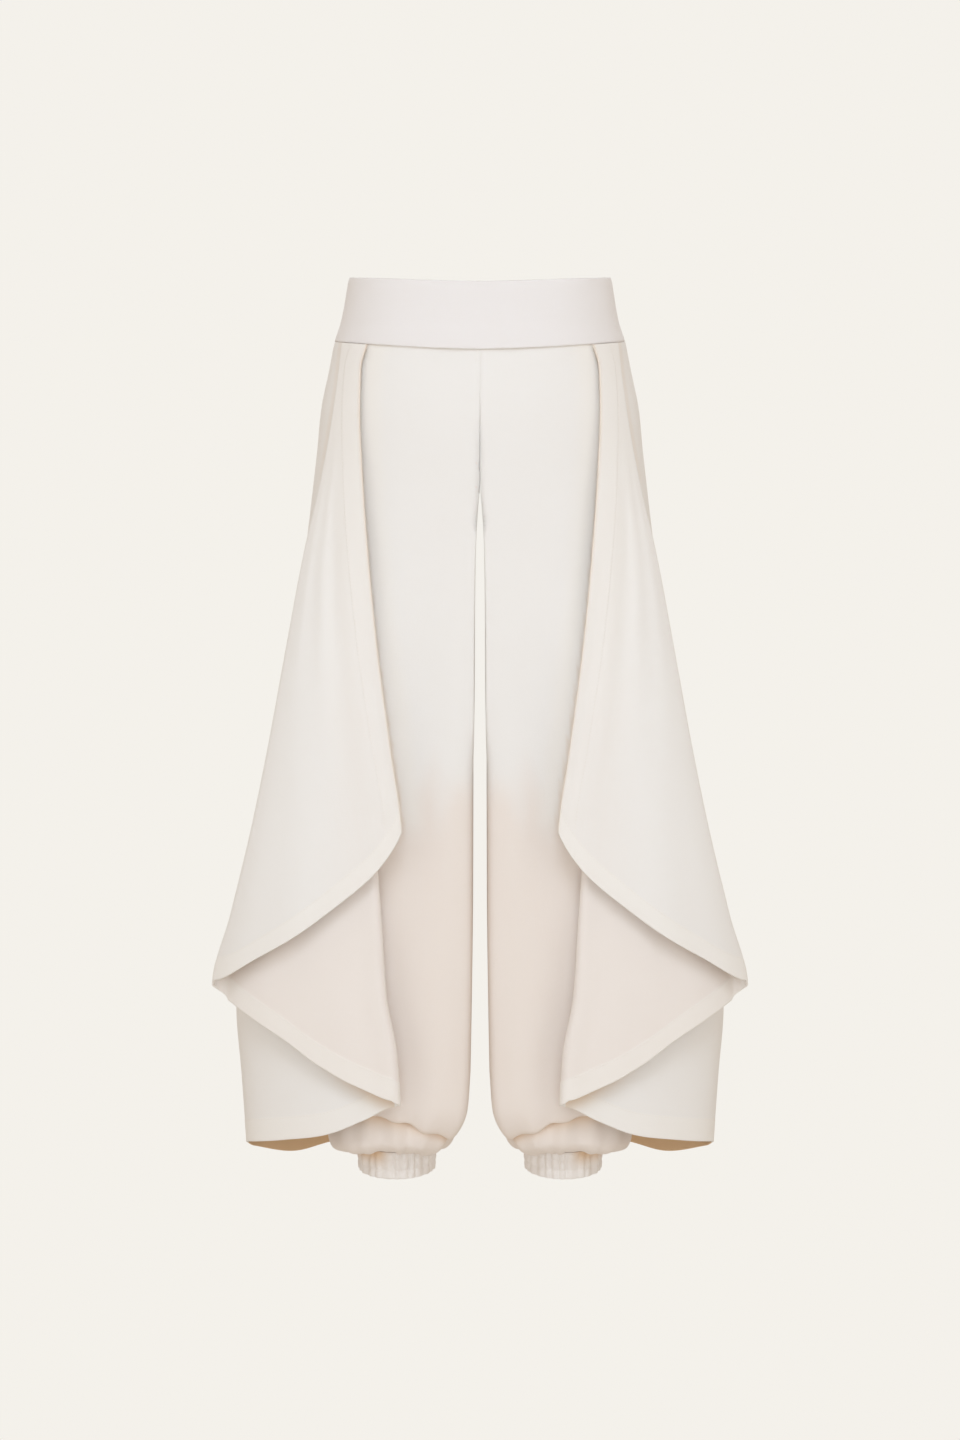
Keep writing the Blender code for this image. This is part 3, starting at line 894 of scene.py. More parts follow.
@dataclass(frozen=True)
class Leg:
    """The full legs: for each a front and a back panel, gathered on to the cuff."""

    cuff: Cuff
    axis: float = 0.0885
    half_width: float = 0.082
    crotch: float = -0.2265
    wall: float = 0.0011
    hollow: float = 0.004  # how far the inside of the leg falls away behind its front edge
    lower_shade_top: float = -0.552  # below this height the legs are painted darker and warmer, a painted shade
    lower_shade_fade: float = 0.09
    lower_leg_shade: float = 0.8
    seam_thinning: float = 0.0006  # how much thinner the two columns at the inner seam are
    seam_column: float = 0.0014  # share of the width between the inner seam and the next column
    side_groove: float = 0.0009
    inner_groove: float = 0.00005
    long_fold: float = 0.0014  # heights of the long folds, the low folds, the gathers and the slack
    low_fold: float = 0.0016
    gather: float = 0.0011
    slack: float = 0.0016
    columns: int = 121
    body_rows: int = 92
    blouse_rows: int = 46
    rise_start: dict[Side, float] = field(default_factory=lambda: {Side.FRONT: -0.150, Side.BACK: -0.120})

    def row_table(self, side: Side) -> Curve:
        """Heights of the rows at the side seam, at the fold and at the rise or inseam.

        inner is how many of 17 columns lie past the fold between the face and the inside.

        Args:
            side: Front or back panel.

        Returns:
            The columns against the row's number.
        """
        if side is Side.FRONT:
            top = (
                (0, -0.069, -0.069, -0.0690, 0),
                (1, -0.110, -0.110, -0.1100, 0),
                (2, -0.150, -0.150, -0.1500, 0),
                (3, -0.190, -0.192, -0.2006, 1),
                (4, -0.226, -0.224, -0.2162, 2),
                (5, -0.261, -0.252, -0.2240, 3),
            )
        else:
            top = (
                (0, -0.069, -0.069, -0.0690, 0),
                (1, -0.095, -0.095, -0.0950, 0),
                (2, -0.122, -0.122, -0.1200, 0),
                (3, -0.174, -0.178, -0.1904, 1),
                (4, -0.218, -0.219, -0.2122, 2),
                (5, -0.257, -0.250, -0.2231, 3),
            )
        rest = (
            (6, -0.296, -0.280, -0.2265, 4),
            (7, -0.332, -0.312, -0.245, 4),
            (8, -0.377, -0.355, -0.285, 4),
            (9, -0.437, -0.415, -0.350, 4),
            (10, -0.502, -0.485, -0.440, 4),
            (11, -0.572, -0.560, -0.540, 4),
            (12, -0.650, -0.645, -0.640, 4),
            (13, -0.740, -0.740, -0.740, 4),
            (14, -0.820, -0.820, -0.820, 4),
            (15, -0.880, -0.880, -0.880, 4),
        )
        return Curve("row side fold seam inner", top + rest)

    def blouse_table(self) -> Curve:
        """How far the cloth has come in to the cuff, and its height: outer side, middle, inner.

        Returns:
            The columns against the blouse's row.
        """
        return Curve(
            "row in_outer in_middle in_inner z_outer z_middle z_inner",
            (
                (-1, 0.00, 0.00, 0.00, -0.880, -0.880, -0.880),
                (0, 0.00, 0.02, 0.06, -0.900, -0.908, -0.925),
                (1, 0.02, 0.08, 0.20, -0.912, -0.924, -0.948),
                (2, 0.03, 0.16, 0.38, -0.922, -0.934, -0.961),
                (3, 0.05, 0.25, 0.44, -0.925, -0.931, -0.958),
                (4, 0.02, 0.23, 0.50, -0.940, -0.945, -0.968),
                (5, 0.01, 0.27, 0.62, -0.962, -0.960, -0.977),
                (6, 0.15, 0.48, 0.76, -0.978, -0.970, -0.982),
                (7, 0.55, 0.78, 0.86, -0.982, -0.975, -0.983),
                (8, 0.94, 0.94, 0.95, -0.9778, -0.9772, -0.9780),
                (9, 1.00, 1.00, 1.00, -0.9772, -0.9768, -0.9772),
            ),
        )

    def wall_point(self, turn: Array, form: dict[str, Array], depth: Array) -> tuple[Array, Array]:
        """A point of the leg's section, turned from its outer side about its axis.

        The section is where an oval and the flat inside of the leg meet: the powers of the
        point's share of the oval and of its share of the way to the flat sum to 1. The reach
        from the axis is found by halving.

        Args:
            turn: Angle about the leg's axis, 0 at its outer side.
            form: The section's row of LEG.
            depth: The section's depth on this side.

        Returns:
            x, and y counted outwards from the side plane.
        """
        low, high = np.zeros_like(turn * depth), np.full_like(turn * depth, 0.4)
        for _ in range(30):
            reach = (low + high) / 2
            x, y = self.axis + reach * np.cos(turn), reach * np.sin(turn)
            power = np.where(x < form["oval"], form["inner_square"], form["square"])
            across = np.abs((x - form["oval"]) / (form["outer"] - form["oval"])) ** power
            oval_share = (across + np.abs(y / depth) ** power) ** (1 / power)
            flat_share = np.clip((self.axis - x) / (self.axis - form["gap"]), 0, None)
            within = oval_share ** form["corner"] + flat_share ** form["corner"] < 1
            low, high = np.where(within, reach, low), np.where(within, high, reach)
        return x, y

    def shares(self) -> Array:
        """Places of the columns: even steps along a running sum that is steeper round the fold.

        Returns:
            The places, 0 at the side seam to 1 at the inner seam.
        """
        even = np.linspace(0, 1, 2001)
        past = even - 13 / 17
        reach = np.cumsum(1 + 4 * bump(past / 0.04) + 12 * bump(past / 0.008))
        reach = (reach - reach[0]) / (reach[-1] - reach[0])
        places = np.interp(np.linspace(0, 1, self.columns - 1), reach, even)
        return np.hstack([places[:-1], 1 - self.seam_column, 1.0])

    def body(self, side: Side) -> tuple[Array, Array]:
        """The panel above the blouse.

        A row runs over the leg's face to the fold and then over its inside to the rise or the
        inseam. The rise is the depth times the square root of 1 less the square of how far the
        row has fallen from the rise's start to the crotch.

        Args:
            side: Front or back panel.

        Returns:
            The points, and how far each has turned about the leg's axis.
        """
        steps = np.hstack([0.0, 0.02, np.linspace(0, 15, self.body_rows - 1)[1:]])
        rows = self.row_table(side).at(steps[:, None])
        share = self.shares()
        past = rows["inner"] / 17
        face = np.clip(share / (1 - past), 0, 1)
        inside = np.clip((share - 1 + past) / np.maximum(past, 1e-6), 0, 1)
        inside = np.where(past > 1e-4, inside, 0)
        levels = rows["side"] + (rows["fold"] - rows["side"]) * face**2
        levels = levels + (rows["seam"] - rows["fold"]) * inside

        name = side.name.lower()
        seam = LEG.at(rows["seam"])
        start = self.rise_start[side]
        fall = np.clip((start - rows["seam"]) / (start - self.crotch), 0, 1)
        rise = seam[name] * np.sqrt(1 - fall**2)
        seam_turn = np.pi - np.arctan2(rise, self.axis - seam["gap"])
        seam_x, seam_y = self.wall_point(seam_turn, seam, seam[name])

        form = LEG.at(levels)
        fold_turn = np.pi - np.arctan2(form[name], self.axis - form["gap"])
        turn = face * fold_turn + inside * (seam_turn - fold_turn)
        x, y = self.wall_point(turn, form, form[name])
        pull = np.maximum(smooth(inside), smooth((share - 0.97) / 0.03) * (past < 0.02))
        x = x + pull * (seam["gap"] - seam_x)
        y = y + pull * (rise - seam_y)
        inner = smooth((self.axis - x) / (self.axis - form["gap"]))
        open_gap = smooth((-0.24 - levels) / 0.06)
        x = x + self.hollow * open_gap * inner * (1 - np.clip(y / form[name], 0, 1) ** 2)
        return np.stack([x + SEAM / 2, side.value * (y + SEAM / 2), levels], axis=-1), turn

    def sheet(self, side: Side) -> Sheet:
        """The whole panel, from under the waistband to the cuff, with its soft folds.

        Below the body each row lies between the leg's last row and the cuff's ring: how far in,
        and how low, is a parabola through the outer side, the middle and the inner side. Below
        the knee the colour is painted darker and warmer, a painted shade. The depth paints shade
        in the blouse's crease under its upper bulge, warm shade along the gap between the legs
        and, in front, a shadow on the cloth past the overlay's free edge, and hem paints the
        cloth beside that edge paler, a painted highlight.

        Args:
            side: Front or back panel.

        Returns:
            The sheet.
        """
        grid, turn = self.body(side)
        levels = grid[..., 2]
        angle = np.arctan2(grid[..., 0], -grid[..., 1])
        fade = 1 - smooth((-BAND_DEPTH - levels) / 0.09)
        grid[..., 2] = levels - (SEAM_DIP.at(angle) + TOP_SEAM) * fade

        last, end_turn = grid[-1], turn[-1]
        ring = self.cuff.ring(np.pi / 2 + side.value * end_turn, np.float64(self.cuff.top), np.float64(0))
        ring[:, 1] += side.value * SEAM / 2
        across = (last[:, 0] - self.axis) / self.half_width
        steps = np.linspace(-1, 9, self.blouse_rows + 1)[1:, None]
        rows = self.blouse_table().at(steps)

        def bend(name: str) -> Array:
            """A column of the blouse's table across the leg: the parabola through its three places."""
            first, second, third = rows[f"{name}_outer"], rows[f"{name}_middle"], rows[f"{name}_inner"]
            return second + (first - third) / 2 * across + ((first + third) / 2 - second) * across**2

        blouse = last + bend("in")[..., None] * (ring - last)
        blouse[..., 2] = bend("z")
        middle = np.concatenate([grid, blouse])
        turn = np.concatenate([turn, np.broadcast_to(end_turn, blouse.shape[:2])])
        row = np.concatenate([np.full((self.body_rows, 1), -1.0), steps])
        apart = smooth((middle[..., 0] - 0.006) / 0.035)
        lift = self.folds(turn, middle[..., 2], row, side) * apart - self.seams(middle)
        if side is Side.FRONT:
            middle, lift = middle[:, ::-1], lift[:, ::-1]
        wall = np.full(middle.shape[:2], self.wall)
        seam = (slice(None), slice(0, 2) if side is Side.FRONT else slice(-2, None))
        wall[seam] -= self.seam_thinning
        lift[seam] += self.seam_thinning / 2
        uneven = 0.012 * ripple(middle[..., 0], middle[..., 2], 0.06, 0.2, 5)
        # painted shade: the legs are painted darker and warmer below a wavy height under the knee
        past = middle[..., 2] + uneven - self.lower_shade_top + self.lower_shade_fade / 2
        shade = self.lower_leg_shade * (1 - smooth(past / self.lower_shade_fade))
        sheet = Sheet(middle, wall, np.zeros_like(wall), shade)
        # depth paints shade in the blouse's crease under its upper bulge and warm shade along the gap
        # between the legs lower down
        crease = 0.7 * bump((row - 2.9) / 0.8) + 0 * wall
        slit = bump((middle[..., 0] - LEG.at(middle[..., 2])["gap"]) / 0.004)
        crease = np.maximum(crease, 0.35 * slit * smooth((-0.45 - middle[..., 2]) / 0.3))
        # in front, a painted shadow at and under the overlay's free edge, and a painted highlight that
        # pales the cloth beside that edge through hem
        under = middle[..., 0] - 1.012 * CASCADE.at(middle[..., 2])["edge_x"]
        above_corner = smooth((middle[..., 2] + 0.62) / 0.04) * (side is Side.FRONT)
        sheet.depth = np.maximum(crease, 0.3 * smooth((under + 0.003) / 0.003) * above_corner)
        sheet.hem = 1.5 * smooth((under + 0.035) / 0.025) * above_corner
        sheet.lift(lift)
        return sheet

    def folds(self, turn: Array, height: Array, row: Array, side: Side) -> Array:
        """Height of the soft folds above the panel.

        Long slack folds run down the leg, stronger lower down, and the gathers of the cuff
        spread up into the blouse and fade.

        Args:
            turn: Angle about the leg.
            height: Height of the point.
            row: Row of the blouse, -1 on the body.
            side: Front or back.

        Returns:
            The height of the folds.
        """
        seed = 11 if side is Side.FRONT else 23
        loose = smooth((-0.13 - height) / 0.30)
        low = smooth((-0.62 - height) / 0.25)
        long_folds = self.long_fold * loose * ripple(turn * 0.09, height, 0.085, 0.9, seed)
        low_folds = self.low_fold * low * ripple(turn * 0.09, height, 0.055, 0.5, seed + 1)
        end = 1 - smooth((row - 7.6) / 1.0)
        near_cuff = smooth((row - 4.0) / 4.0) * (0.35 + 0.65 * end)
        angle = np.pi / 2 + side.value * turn
        gathers = self.gather * near_cuff * self.cuff.wave(angle + 0.03 * np.sin(5 * angle + 2 * row))
        uneven = ripple(turn * 0.09, row * 0.004, 0.045, 0.05, seed + 2)
        soft = self.slack * smooth((row + 1) / 4) * end * uneven
        return (long_folds + low_folds) * (0.2 + 0.8 * end) + gathers + soft

    def seams(self, middle: Array) -> Array:
        """How far the panel sinks at its seams: a narrow groove along each sewn edge.

        Args:
            middle: The panel's points, from the side seam to the inner seam.

        Returns:
            The depth of the grooves.
        """
        span = run_length(middle, 1)
        width = span[:, -1:]
        side_seam = bump(span / 0.0028)
        inner_seam = bump((width - span) / 0.0020)
        return self.side_groove * side_seam + self.inner_groove * inner_seam

    def build(self, finish: bpy.types.Material) -> None:
        """Makes the four panels.

        Args:
            finish: The crepe.
        """
        for side in Side:
            sheet = self.sheet(side)
            for hand in Hand:
                node = f"leg_{side.name.lower()}_{hand.name.lower()}"
                piece = sheet.make(f"cloth_{node}", hand, finish)
                declare(piece, node, sheet)


@dataclass(frozen=True)
class Overlay:
    """The overlay on both sides: a cascade in front of the side seam and a plain back."""

    wall: float = 0.0011
    hem_wall: float = 0.0016
    hem_depth: float = 0.025
    hem_step: float = 0.003
    edge_share: float = 0.14  # share of the front layer's columns that its edge hem takes
    back_edge: tuple[tuple[float, float], ...] = (
        (-0.2265, 0.0003),
        (-0.350, 0.014),
        (-0.700, 0.022),
        (-1.010, 0.045),
    )
    body_rows: int = 120
    hem_rows: int = 16
    tint_start: float = 0.125  # the front layer's warmer tone and its painted highlight fade over tint_reach from this far out
    tint_reach: float = 0.085
    side_shade: float = 0.1
    back_shade: float = 0.3
    # strength of the painted shade over the back panel's inside
    back_painted_shade: float = 0.9
    slack: float = 0.0009  # height of the front panel's waves
    back_slack: float = 0.0040
    trough: float = 0.0026
    dent: float = 0.0014
    curl: float = 0.0012
    hem_groove: float = 0.0001
    edge_groove: float = 0.00012
    top_groove: float = 0.0004
    side_groove: float = 0.0008

    def point(self, angle: Array, off: Array, z: Array) -> Array:
        """Point that stands off from the overlay's ring, along its normal, at height z."""
        x, y, nx, ny = oval(angle, OVERLAY.at(z))
        return np.stack([x + off * nx, y + off * ny, z + 0 * x], axis=-1)

    def angle_at(self, reach: Array, off: Array, z: Array) -> Array:
        """Angle at which the stood-off ring is reach from the centre plane, found by halving.

        Args:
            reach: Distance from the centre plane.
            off: How far the ring stands off.
            z: Height.

        Returns:
            The angle from the front.
        """
        low, high = np.zeros_like(z), np.full_like(z, np.pi / 2)
        for _ in range(30):
            middle = (low + high) / 2
            short = self.point(middle, off, z)[..., 0] < reach
            low, high = np.where(short, middle, low), np.where(short, high, middle)
        return low

    def speed(self, angle: Array, off: Array, z: Array) -> Array:
        """Metres round the stood-off ring for each radian: a short step's length over its angle.

        Args:
            angle: Round the ring.
            off: How far the ring stands off.
            z: Height.

        Returns:
            The metres for each radian.
        """
        step = 0.001
        ahead, behind = self.point(angle + step, off, z), self.point(angle - step, off, z)
        return np.linalg.norm(ahead - behind, axis=-1) / (2 * step)

    def cascade(self, stretch: Stretch, share: Array, z: Array) -> Array:
        """Point of one stretch of the cascade.

        The layers run evenly in angle between the free edge, the folds and the side seam, and
        their stand-off goes smoothly from one end's to the other's. A fold is half a turn: the
        sine of the turn leads it past the layers' ends and the cosine brings it round.

        Args:
            stretch: Which stretch.
            share: 0 to 1 along it.
            z: Height.

        Returns:
            The points.
        """
        k = CASCADE.at(z)
        outer = self.angle_at(k["outer_x"] - k["outer_turn"], k["outer_off"], z)
        inner = self.angle_at(k["inner_x"] + k["inner_turn"], k["inner_off"], z)
        if stretch is Stretch.FRONT:
            edge = self.angle_at(k["edge_x"], k["edge_off"], z)
            pace = self.speed((edge + outer) / 2, k["edge_off"], z)
            hem = self.hem_depth / ((outer - edge) * pace)
            on_hem = share * hem / self.edge_share
            past_hem = hem + (1 - hem) * (share - self.edge_share) / (1 - self.edge_share)
            along = np.where(share < self.edge_share, on_hem, past_hem)
            angle = edge + (outer - edge) * along
            off = k["edge_off"] + (k["outer_off"] + k["outer_turn"] - k["edge_off"]) * smooth(along)
        elif stretch is Stretch.OUTER_FOLD:
            turn = np.pi * share
            angle = outer + k["outer_turn"] * np.sin(turn) / self.speed(outer, k["outer_off"], z)
            off = k["outer_off"] + k["outer_turn"] * np.cos(turn)
        elif stretch is Stretch.MIDDLE:
            angle = outer + (inner - outer) * share
            start, end = k["outer_off"] - k["outer_turn"], k["inner_off"] + k["inner_turn"]
            off = start + (end - start) * smooth(share)
        elif stretch is Stretch.INNER_FOLD:
            turn = np.pi * share
            angle = inner - k["inner_turn"] * np.sin(turn) / self.speed(inner, k["inner_off"], z)
            off = k["inner_off"] + k["inner_turn"] * np.cos(turn)
        else:
            angle = inner + (np.pi / 2 - inner) * share
            off = (k["inner_off"] - k["inner_turn"]) * (1 - smooth(share))
        return self.point(angle, off, z)

    def back_point(self, stretch: Stretch, share: Array, z: Array) -> Array:
        """Point of the plain back: evenly in angle from the side seam to its inner edge.

        Args:
            stretch: Not used; it is always BACK, and the other stretches have cascade.
            share: 0 to 1 along it.
            z: Height.

        Returns:
            The points.
        """
        edge_z, edge_x = np.array(self.back_edge)[::-1].T
        edge = np.pi - np.interp(z, edge_z, edge_x) / OVERLAY.at(z)["back"]
        return self.point(np.pi / 2 + (edge - np.pi / 2) * share, 0.0, z)

    def rows(self, stretch: Stretch, share: Array, place: Any) -> tuple[Array, Array]:
        """One stretch's points, from the waistband's seam down to the hem.

        Args:
            stretch: Which stretch.
            share: 0 to 1 along it, one for each column.
            place: The method that gives its points.

        Returns:
            The points, and how far each lies above the hem.
        """
        hem = HEM_LINE.at(stretch.value + share)["z"]
        top_point = place(stretch, share, np.full_like(share, -BAND_DEPTH))
        angle = np.arctan2(top_point[:, 0], -top_point[:, 1])
        top = -BAND_DEPTH - SEAM_DIP.at(angle) - TOP_SEAM
        down = np.hstack([0.0, 0.001, np.linspace(0, 1, self.body_rows - 1)[1:]])[:, None]
        seam = hem + self.hem_depth + self.hem_step
        body = top + (seam - top) * (1 - (1 - down) ** 1.15)
        turned = np.linspace(0, 1, self.hem_rows)[1:, None]
        fine = np.array([0.33, 0.66, 1.0])[:, None]
        step = seam - self.hem_step * fine
        low = hem + self.hem_depth * (1 - turned)
        heights = np.vstack([body, step, low])
        return place(stretch, np.broadcast_to(share, heights.shape), heights), heights - hem

    def front(self) -> tuple[Sheet, Array]:
        """The cascade panel with its folds, hems and soft creases.

        Returns:
            The sheet, and each column's place along the stretches.
        """
        hem = self.edge_share
        ease = hem * self.hem_step / self.hem_depth
        front = spread((0, hem, 12), (hem, hem + ease, 3), (hem + ease, 1, 46))
        fold = np.linspace(0, 1, 13)[1:-1]
        layers = (
            (Stretch.FRONT, front),
            (Stretch.OUTER_FOLD, fold),
            (Stretch.MIDDLE, np.linspace(0, 1, 52)),
            (Stretch.INNER_FOLD, fold),
            (Stretch.SIDE, np.linspace(0, 1, 60)),
        )
        grids = [self.rows(stretch, share, self.cascade) for stretch, share in layers]
        middle = np.hstack([grid for grid, _ in grids])
        above = np.hstack([height for _, height in grids])
        along = np.hstack([stretch.value + share for stretch, share in layers])
        middle[:, -1, 1] -= SEAM / 2
        share = along + 0 * above
        turned = np.maximum(
            1 - smooth((above - self.hem_depth) / self.hem_step),
            1 - smooth((share - hem) / ease),
        )
        wall = self.wall + (self.hem_wall - self.wall) * turned
        edge_hem = 0.5 * smooth((-0.42 - middle[..., 2]) / 0.25)
        bottom = 1 - smooth((above - self.hem_depth) / self.hem_step)
        tone = np.where(bottom > 0.5, 1.0, edge_hem) * turned
        # Near the free edge the front layer gets a warmer tone and, towards its top, a painted highlight
        # that pales it through the hem attribute.
        ahead = (1 - smooth((middle[..., 0] - self.tint_start) / self.tint_reach)) * (share < 1)
        tone = np.maximum(tone, 0.75 * ahead * smooth((middle[..., 2] + 0.55) / 0.3))
        shade = np.where(share > 3, self.side_shade, 0.3 * ahead)
        sheet = Sheet(middle, wall, tone, shade, depth=self.front_painted_shade(middle, along))
        sheet.lift(self.front_relief(share, middle[..., 2], above))
        return sheet, along

    def front_painted_shade(self, middle: Array, along: Array) -> Array:
        """Painted shade among the cascade's folds: how far each place's colour goes to the painted shade
        colour.

        It is strongest on the side layer just under the middle layer's hem, a painted shadow, and
        less along the rim of the free edge, a painted warm line. The middle layer under the front
        one's hem and the side layer behind the outer fold get a little painted shadow.

        Args:
            middle: The panel's points.
            along: Each column's place along the stretches.

        Returns:
            The amount of painted shade.
        """
        x, z = middle[..., 0], middle[..., 2]
        # painted shade in the groove between the outer fold and the side layer, near the top
        groove = 1 - smooth((x - CASCADE.at(z)["outer_x"] - 0.0025) / 0.004)
        groove = 0.12 * groove * smooth((z + 0.24) / 0.05) * (along >= 4)
        edge = 0.3 * bump(along * self.hem_depth / self.edge_share / 0.0018) * (along < 1)
        edge = edge * smooth((z + 0.62) / 0.05)
        hem_1, hem_2 = middle[-1, along <= 1], middle[-1, (along >= 2) & (along <= 3)][::-1]
        under_1 = np.interp(x, hem_1[:, 0], hem_1[:, 2]) - z
        under_2 = np.interp(x, hem_2[:, 0], hem_2[:, 2]) - z
        # painted shadows under the front layer's hem and under the middle layer's hem
        wedge_1 = 0.10 * bump(under_1 / 0.014) * smooth((x - 0.17) / 0.06)
        wedge_2 = 0.60 * bump(under_2 / 0.014) * (1 - smooth((x - 0.11) / 0.08))
        wedges = np.where(along >= 4, wedge_2, np.where((along > 1.5) & (along < 3), wedge_1, 0.0))
        return np.maximum(groove, wedges) + edge

    def front_relief(self, along: Array, height: Array, above: Array) -> Array:
        """Height of the cascade's soft folds along its normal.

        The front layer has one long shallow trough, a dent beside its corner and a lifted free
        edge; all layers have slight slack waves that die away at the folds and at the top.

        Args:
            along: Place along the stretches.
            height: Height of the point.
            above: Height above the hem.

        Returns:
            The height of the folds.
        """
        share = along - np.floor(along)
        calm = np.sin(np.pi * share) ** 0.5 * (np.floor(along).astype(int) % 2 == 0)
        calm = np.where(along <= 1, smooth((1 - along) / 0.2), calm)
        loose = smooth((-0.16 - height) / 0.25)
        waves = self.slack * ripple(along * 0.2, height, 0.08, 0.7, 31) * calm * loose
        span = smooth((-0.20 - height) / 0.12) * (1 - smooth((-0.56 - height) / 0.12))
        trough = self.trough * bump((along - 0.47) / 0.13) * span * (along < 1)
        dent = self.dent * bump(np.hypot((along - 0.16) * 0.21, height + 0.588) / 0.012)
        curl = self.curl * bump(along / 0.05) * loose
        groove = self.hem_groove * bump((above - self.hem_depth) / 0.0018)
        stitch = self.edge_groove * bump((along - self.edge_share) / 0.008) * (along < 1)
        stitch = stitch * smooth((-0.38 - height) / 0.25)
        top = self.top_groove * bump((height + 0.070) / 0.004)
        seam = self.side_groove * bump((5 - along) * 0.16 / 0.0026)
        return waves - trough - dent + curl - np.maximum(groove, stitch) - top - seam

    def back(self) -> Sheet:
        """The plain back panel with long soft folds that open towards the hem.

        Returns:
            The sheet.
        """
        share = np.linspace(0, 1, 84)
        middle, above = self.rows(Stretch.BACK, share, self.back_point)
        middle[:, 0, 1] += SEAM / 2
        turned = 1 - smooth((above - self.hem_depth) / self.hem_step)
        wall = self.wall + (self.hem_wall - self.wall) * turned
        # painted shade: the back panel's inside is painted dark and warm all over; its outside is not
        painted_shade = np.full_like(wall, self.back_painted_shade)
        shade = np.full_like(wall, self.back_shade)
        sheet = Sheet(middle, wall, turned, shade, depth=painted_shade, painted_shade_outside=0.0)
        height = middle[..., 2]
        across = share + 0 * height
        loose = smooth((-0.18 - height) / 0.6)
        ends = smooth(across / 0.15) * smooth((1 - across) / 0.05)
        waves = self.back_slack * ripple(across * 0.3, height, 0.13, 2.5, 41) * loose * ends
        seam = self.side_groove * bump(across * 0.3 / 0.0026)
        groove = self.hem_groove * bump((above - self.hem_depth) / 0.0018)
        sheet.lift(waves - seam - groove)
        return sheet

    def build(self, finish: bpy.types.Material) -> list[tuple[Array, Array, Array]]:
        """Makes the four panels.

        Args:
            finish: The crepe.

        Returns:
            The lines on the left panels that are stitched: points, normals and wall.
        """
        front, along = self.front()
        back = self.back()
        for sheet, part in ((front, "front"), (back, "back")):
            for hand in Hand:
                node = f"drape_{part}_{hand.name.lower()}"
                piece = sheet.make(f"cloth_{node}", hand, finish)
                declare(piece, node, sheet)
        lines = []
        hem_row = self.body_rows + 2
        for sheet in (front, back):
            normal, _, _ = facing(sheet.middle)
            lines.append((sheet.middle[hem_row], normal[hem_row], sheet.wall[hem_row]))
        normal, _, _ = facing(front.middle)
        column = int(np.argmin(np.abs(along - self.edge_share)))
        part = slice(2, hem_row)
        lines.append((front.middle[part, column], normal[part, column], front.wall[part, column]))
        return lines


@dataclass(frozen=True)
class HemStitches:
    """Rows of short stitches that hold the turned hems, on both faces of the cloth."""

    pitch: float = 0.0042
    length: float = 0.0028
    width: float = 0.0005

    def bars(self, line: Array, normal: Array, wall: Array) -> tuple[Array, Array]:
        """Stitches along one line.

        Each is a bar of four stations, thin at its ends: a station is the stitch's middle plus
        its share of the length along the line, and its corners stand off across the line and
        along the normal.

        Args:
            line: Points of the line.
            normal: The cloth's normals there.
            wall: The cloth's wall there.

        Returns:
            The points and the faces.
        """
        far = run_length(line, 0)
        centres = np.arange(self.pitch, far[-1] - self.pitch, self.pitch)

        def read(values: Array) -> Array:
            """Values of the line at the middles of its stitches."""
            return np.stack([np.interp(centres, far, values[:, k]) for k in range(3)], axis=-1)

        middle, out = read(line), unit(read(normal))
        way = unit(read(np.gradient(line, axis=0)))
        cross = np.cross(out, way)
        half = np.interp(centres, far, wall)[:, None] / 2
        stations = np.array([-0.5, -0.36, 0.36, 0.5]) * self.length
        girth = np.array([0.25, 1.0, 1.0, 0.25]) * self.width / 2
        corners = np.array([(-1, 0), (0, 1), (1, 0), (0, -1)])
        points, faces = [], []
        count = len(centres)
        for face in (1, -1):
            base = middle + out * face * (half - self.width * 0.1)
            spot = base[:, None, None] + way[:, None, None] * stations[:, None, None]
            spot = spot + cross[:, None, None] * (girth[:, None] * corners[:, 0])[..., None]
            spot = spot + out[:, None, None] * (girth[:, None] * corners[:, 1])[..., None]
            start = sum(len(p) for p in points)
            points.append(spot.reshape(-1, 3))
            first = start + 16 * np.arange(count)[:, None, None]
            ring = np.arange(4)
            sides = np.stack([ring, (ring + 1) % 4, (ring + 1) % 4 + 4, ring + 4], axis=-1)
            quads = np.concatenate([sides, sides + 4, sides + 8, [[3, 2, 1, 0], [12, 13, 14, 15]]])
            faces.append((first + quads[None]).reshape(-1, 4))
        return np.concatenate(points), np.concatenate(faces)

    def build(self, lines: Sequence[tuple[Array, Array, Array]], finish: bpy.types.Material) -> None:
        """Makes the stitches of both sides as one piece.

        Args:
            lines: Stitched lines of the left side.
            finish: The thread.
        """
        points, faces, total = [], [], 0
        for line in lines:
            bar_points, bar_faces = self.bars(*line)
            for hand in Hand:
                points.append(bar_points * np.array([hand.value, 1, 1]))
                faces.append((bar_faces if hand is Hand.LEFT else bar_faces[:, ::-1]) + total)
                total += len(bar_points)
        piece = piece_of(mesh_of("hem_stitches", np.concatenate(points), np.concatenate(faces)), finish)
        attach(piece, "root")
        log.info("hem_stitches: %d faces", len(piece.data.polygons))


# ----------------------------------------------------------------------------------- stage


@dataclass(frozen=True)
class Lamp:
    """A soft square light: where it hangs, the length of its side, its power and its tint."""

    name: str
    place: tuple[float, float, float]
    size: float
    watts: float
    colour: tuple[float, float, float]


FRONT_TINT = (0.72, 0.85, 1.0)
SIDE_TINT = (0.80, 0.89, 1.0)
LAMPS = (
    Lamp("key", (0.0, -3.6, 2.9), 1.6, 60.0, FRONT_TINT),
    Lamp("fill", (0.0, -5.6, 0.0), 4.0, 68.0, FRONT_TINT),
    Lamp("fill_left", (3.6, -4.0, 0.2), 2.6, 20.0, SIDE_TINT),
    Lamp("fill_right", (-3.6, -4.0, 0.2), 2.6, 20.0, SIDE_TINT),
    Lamp("back", (0.0, 4.5, 1.2), 3.0, 115.0, (0.75, 0.87, 1.0)),
)


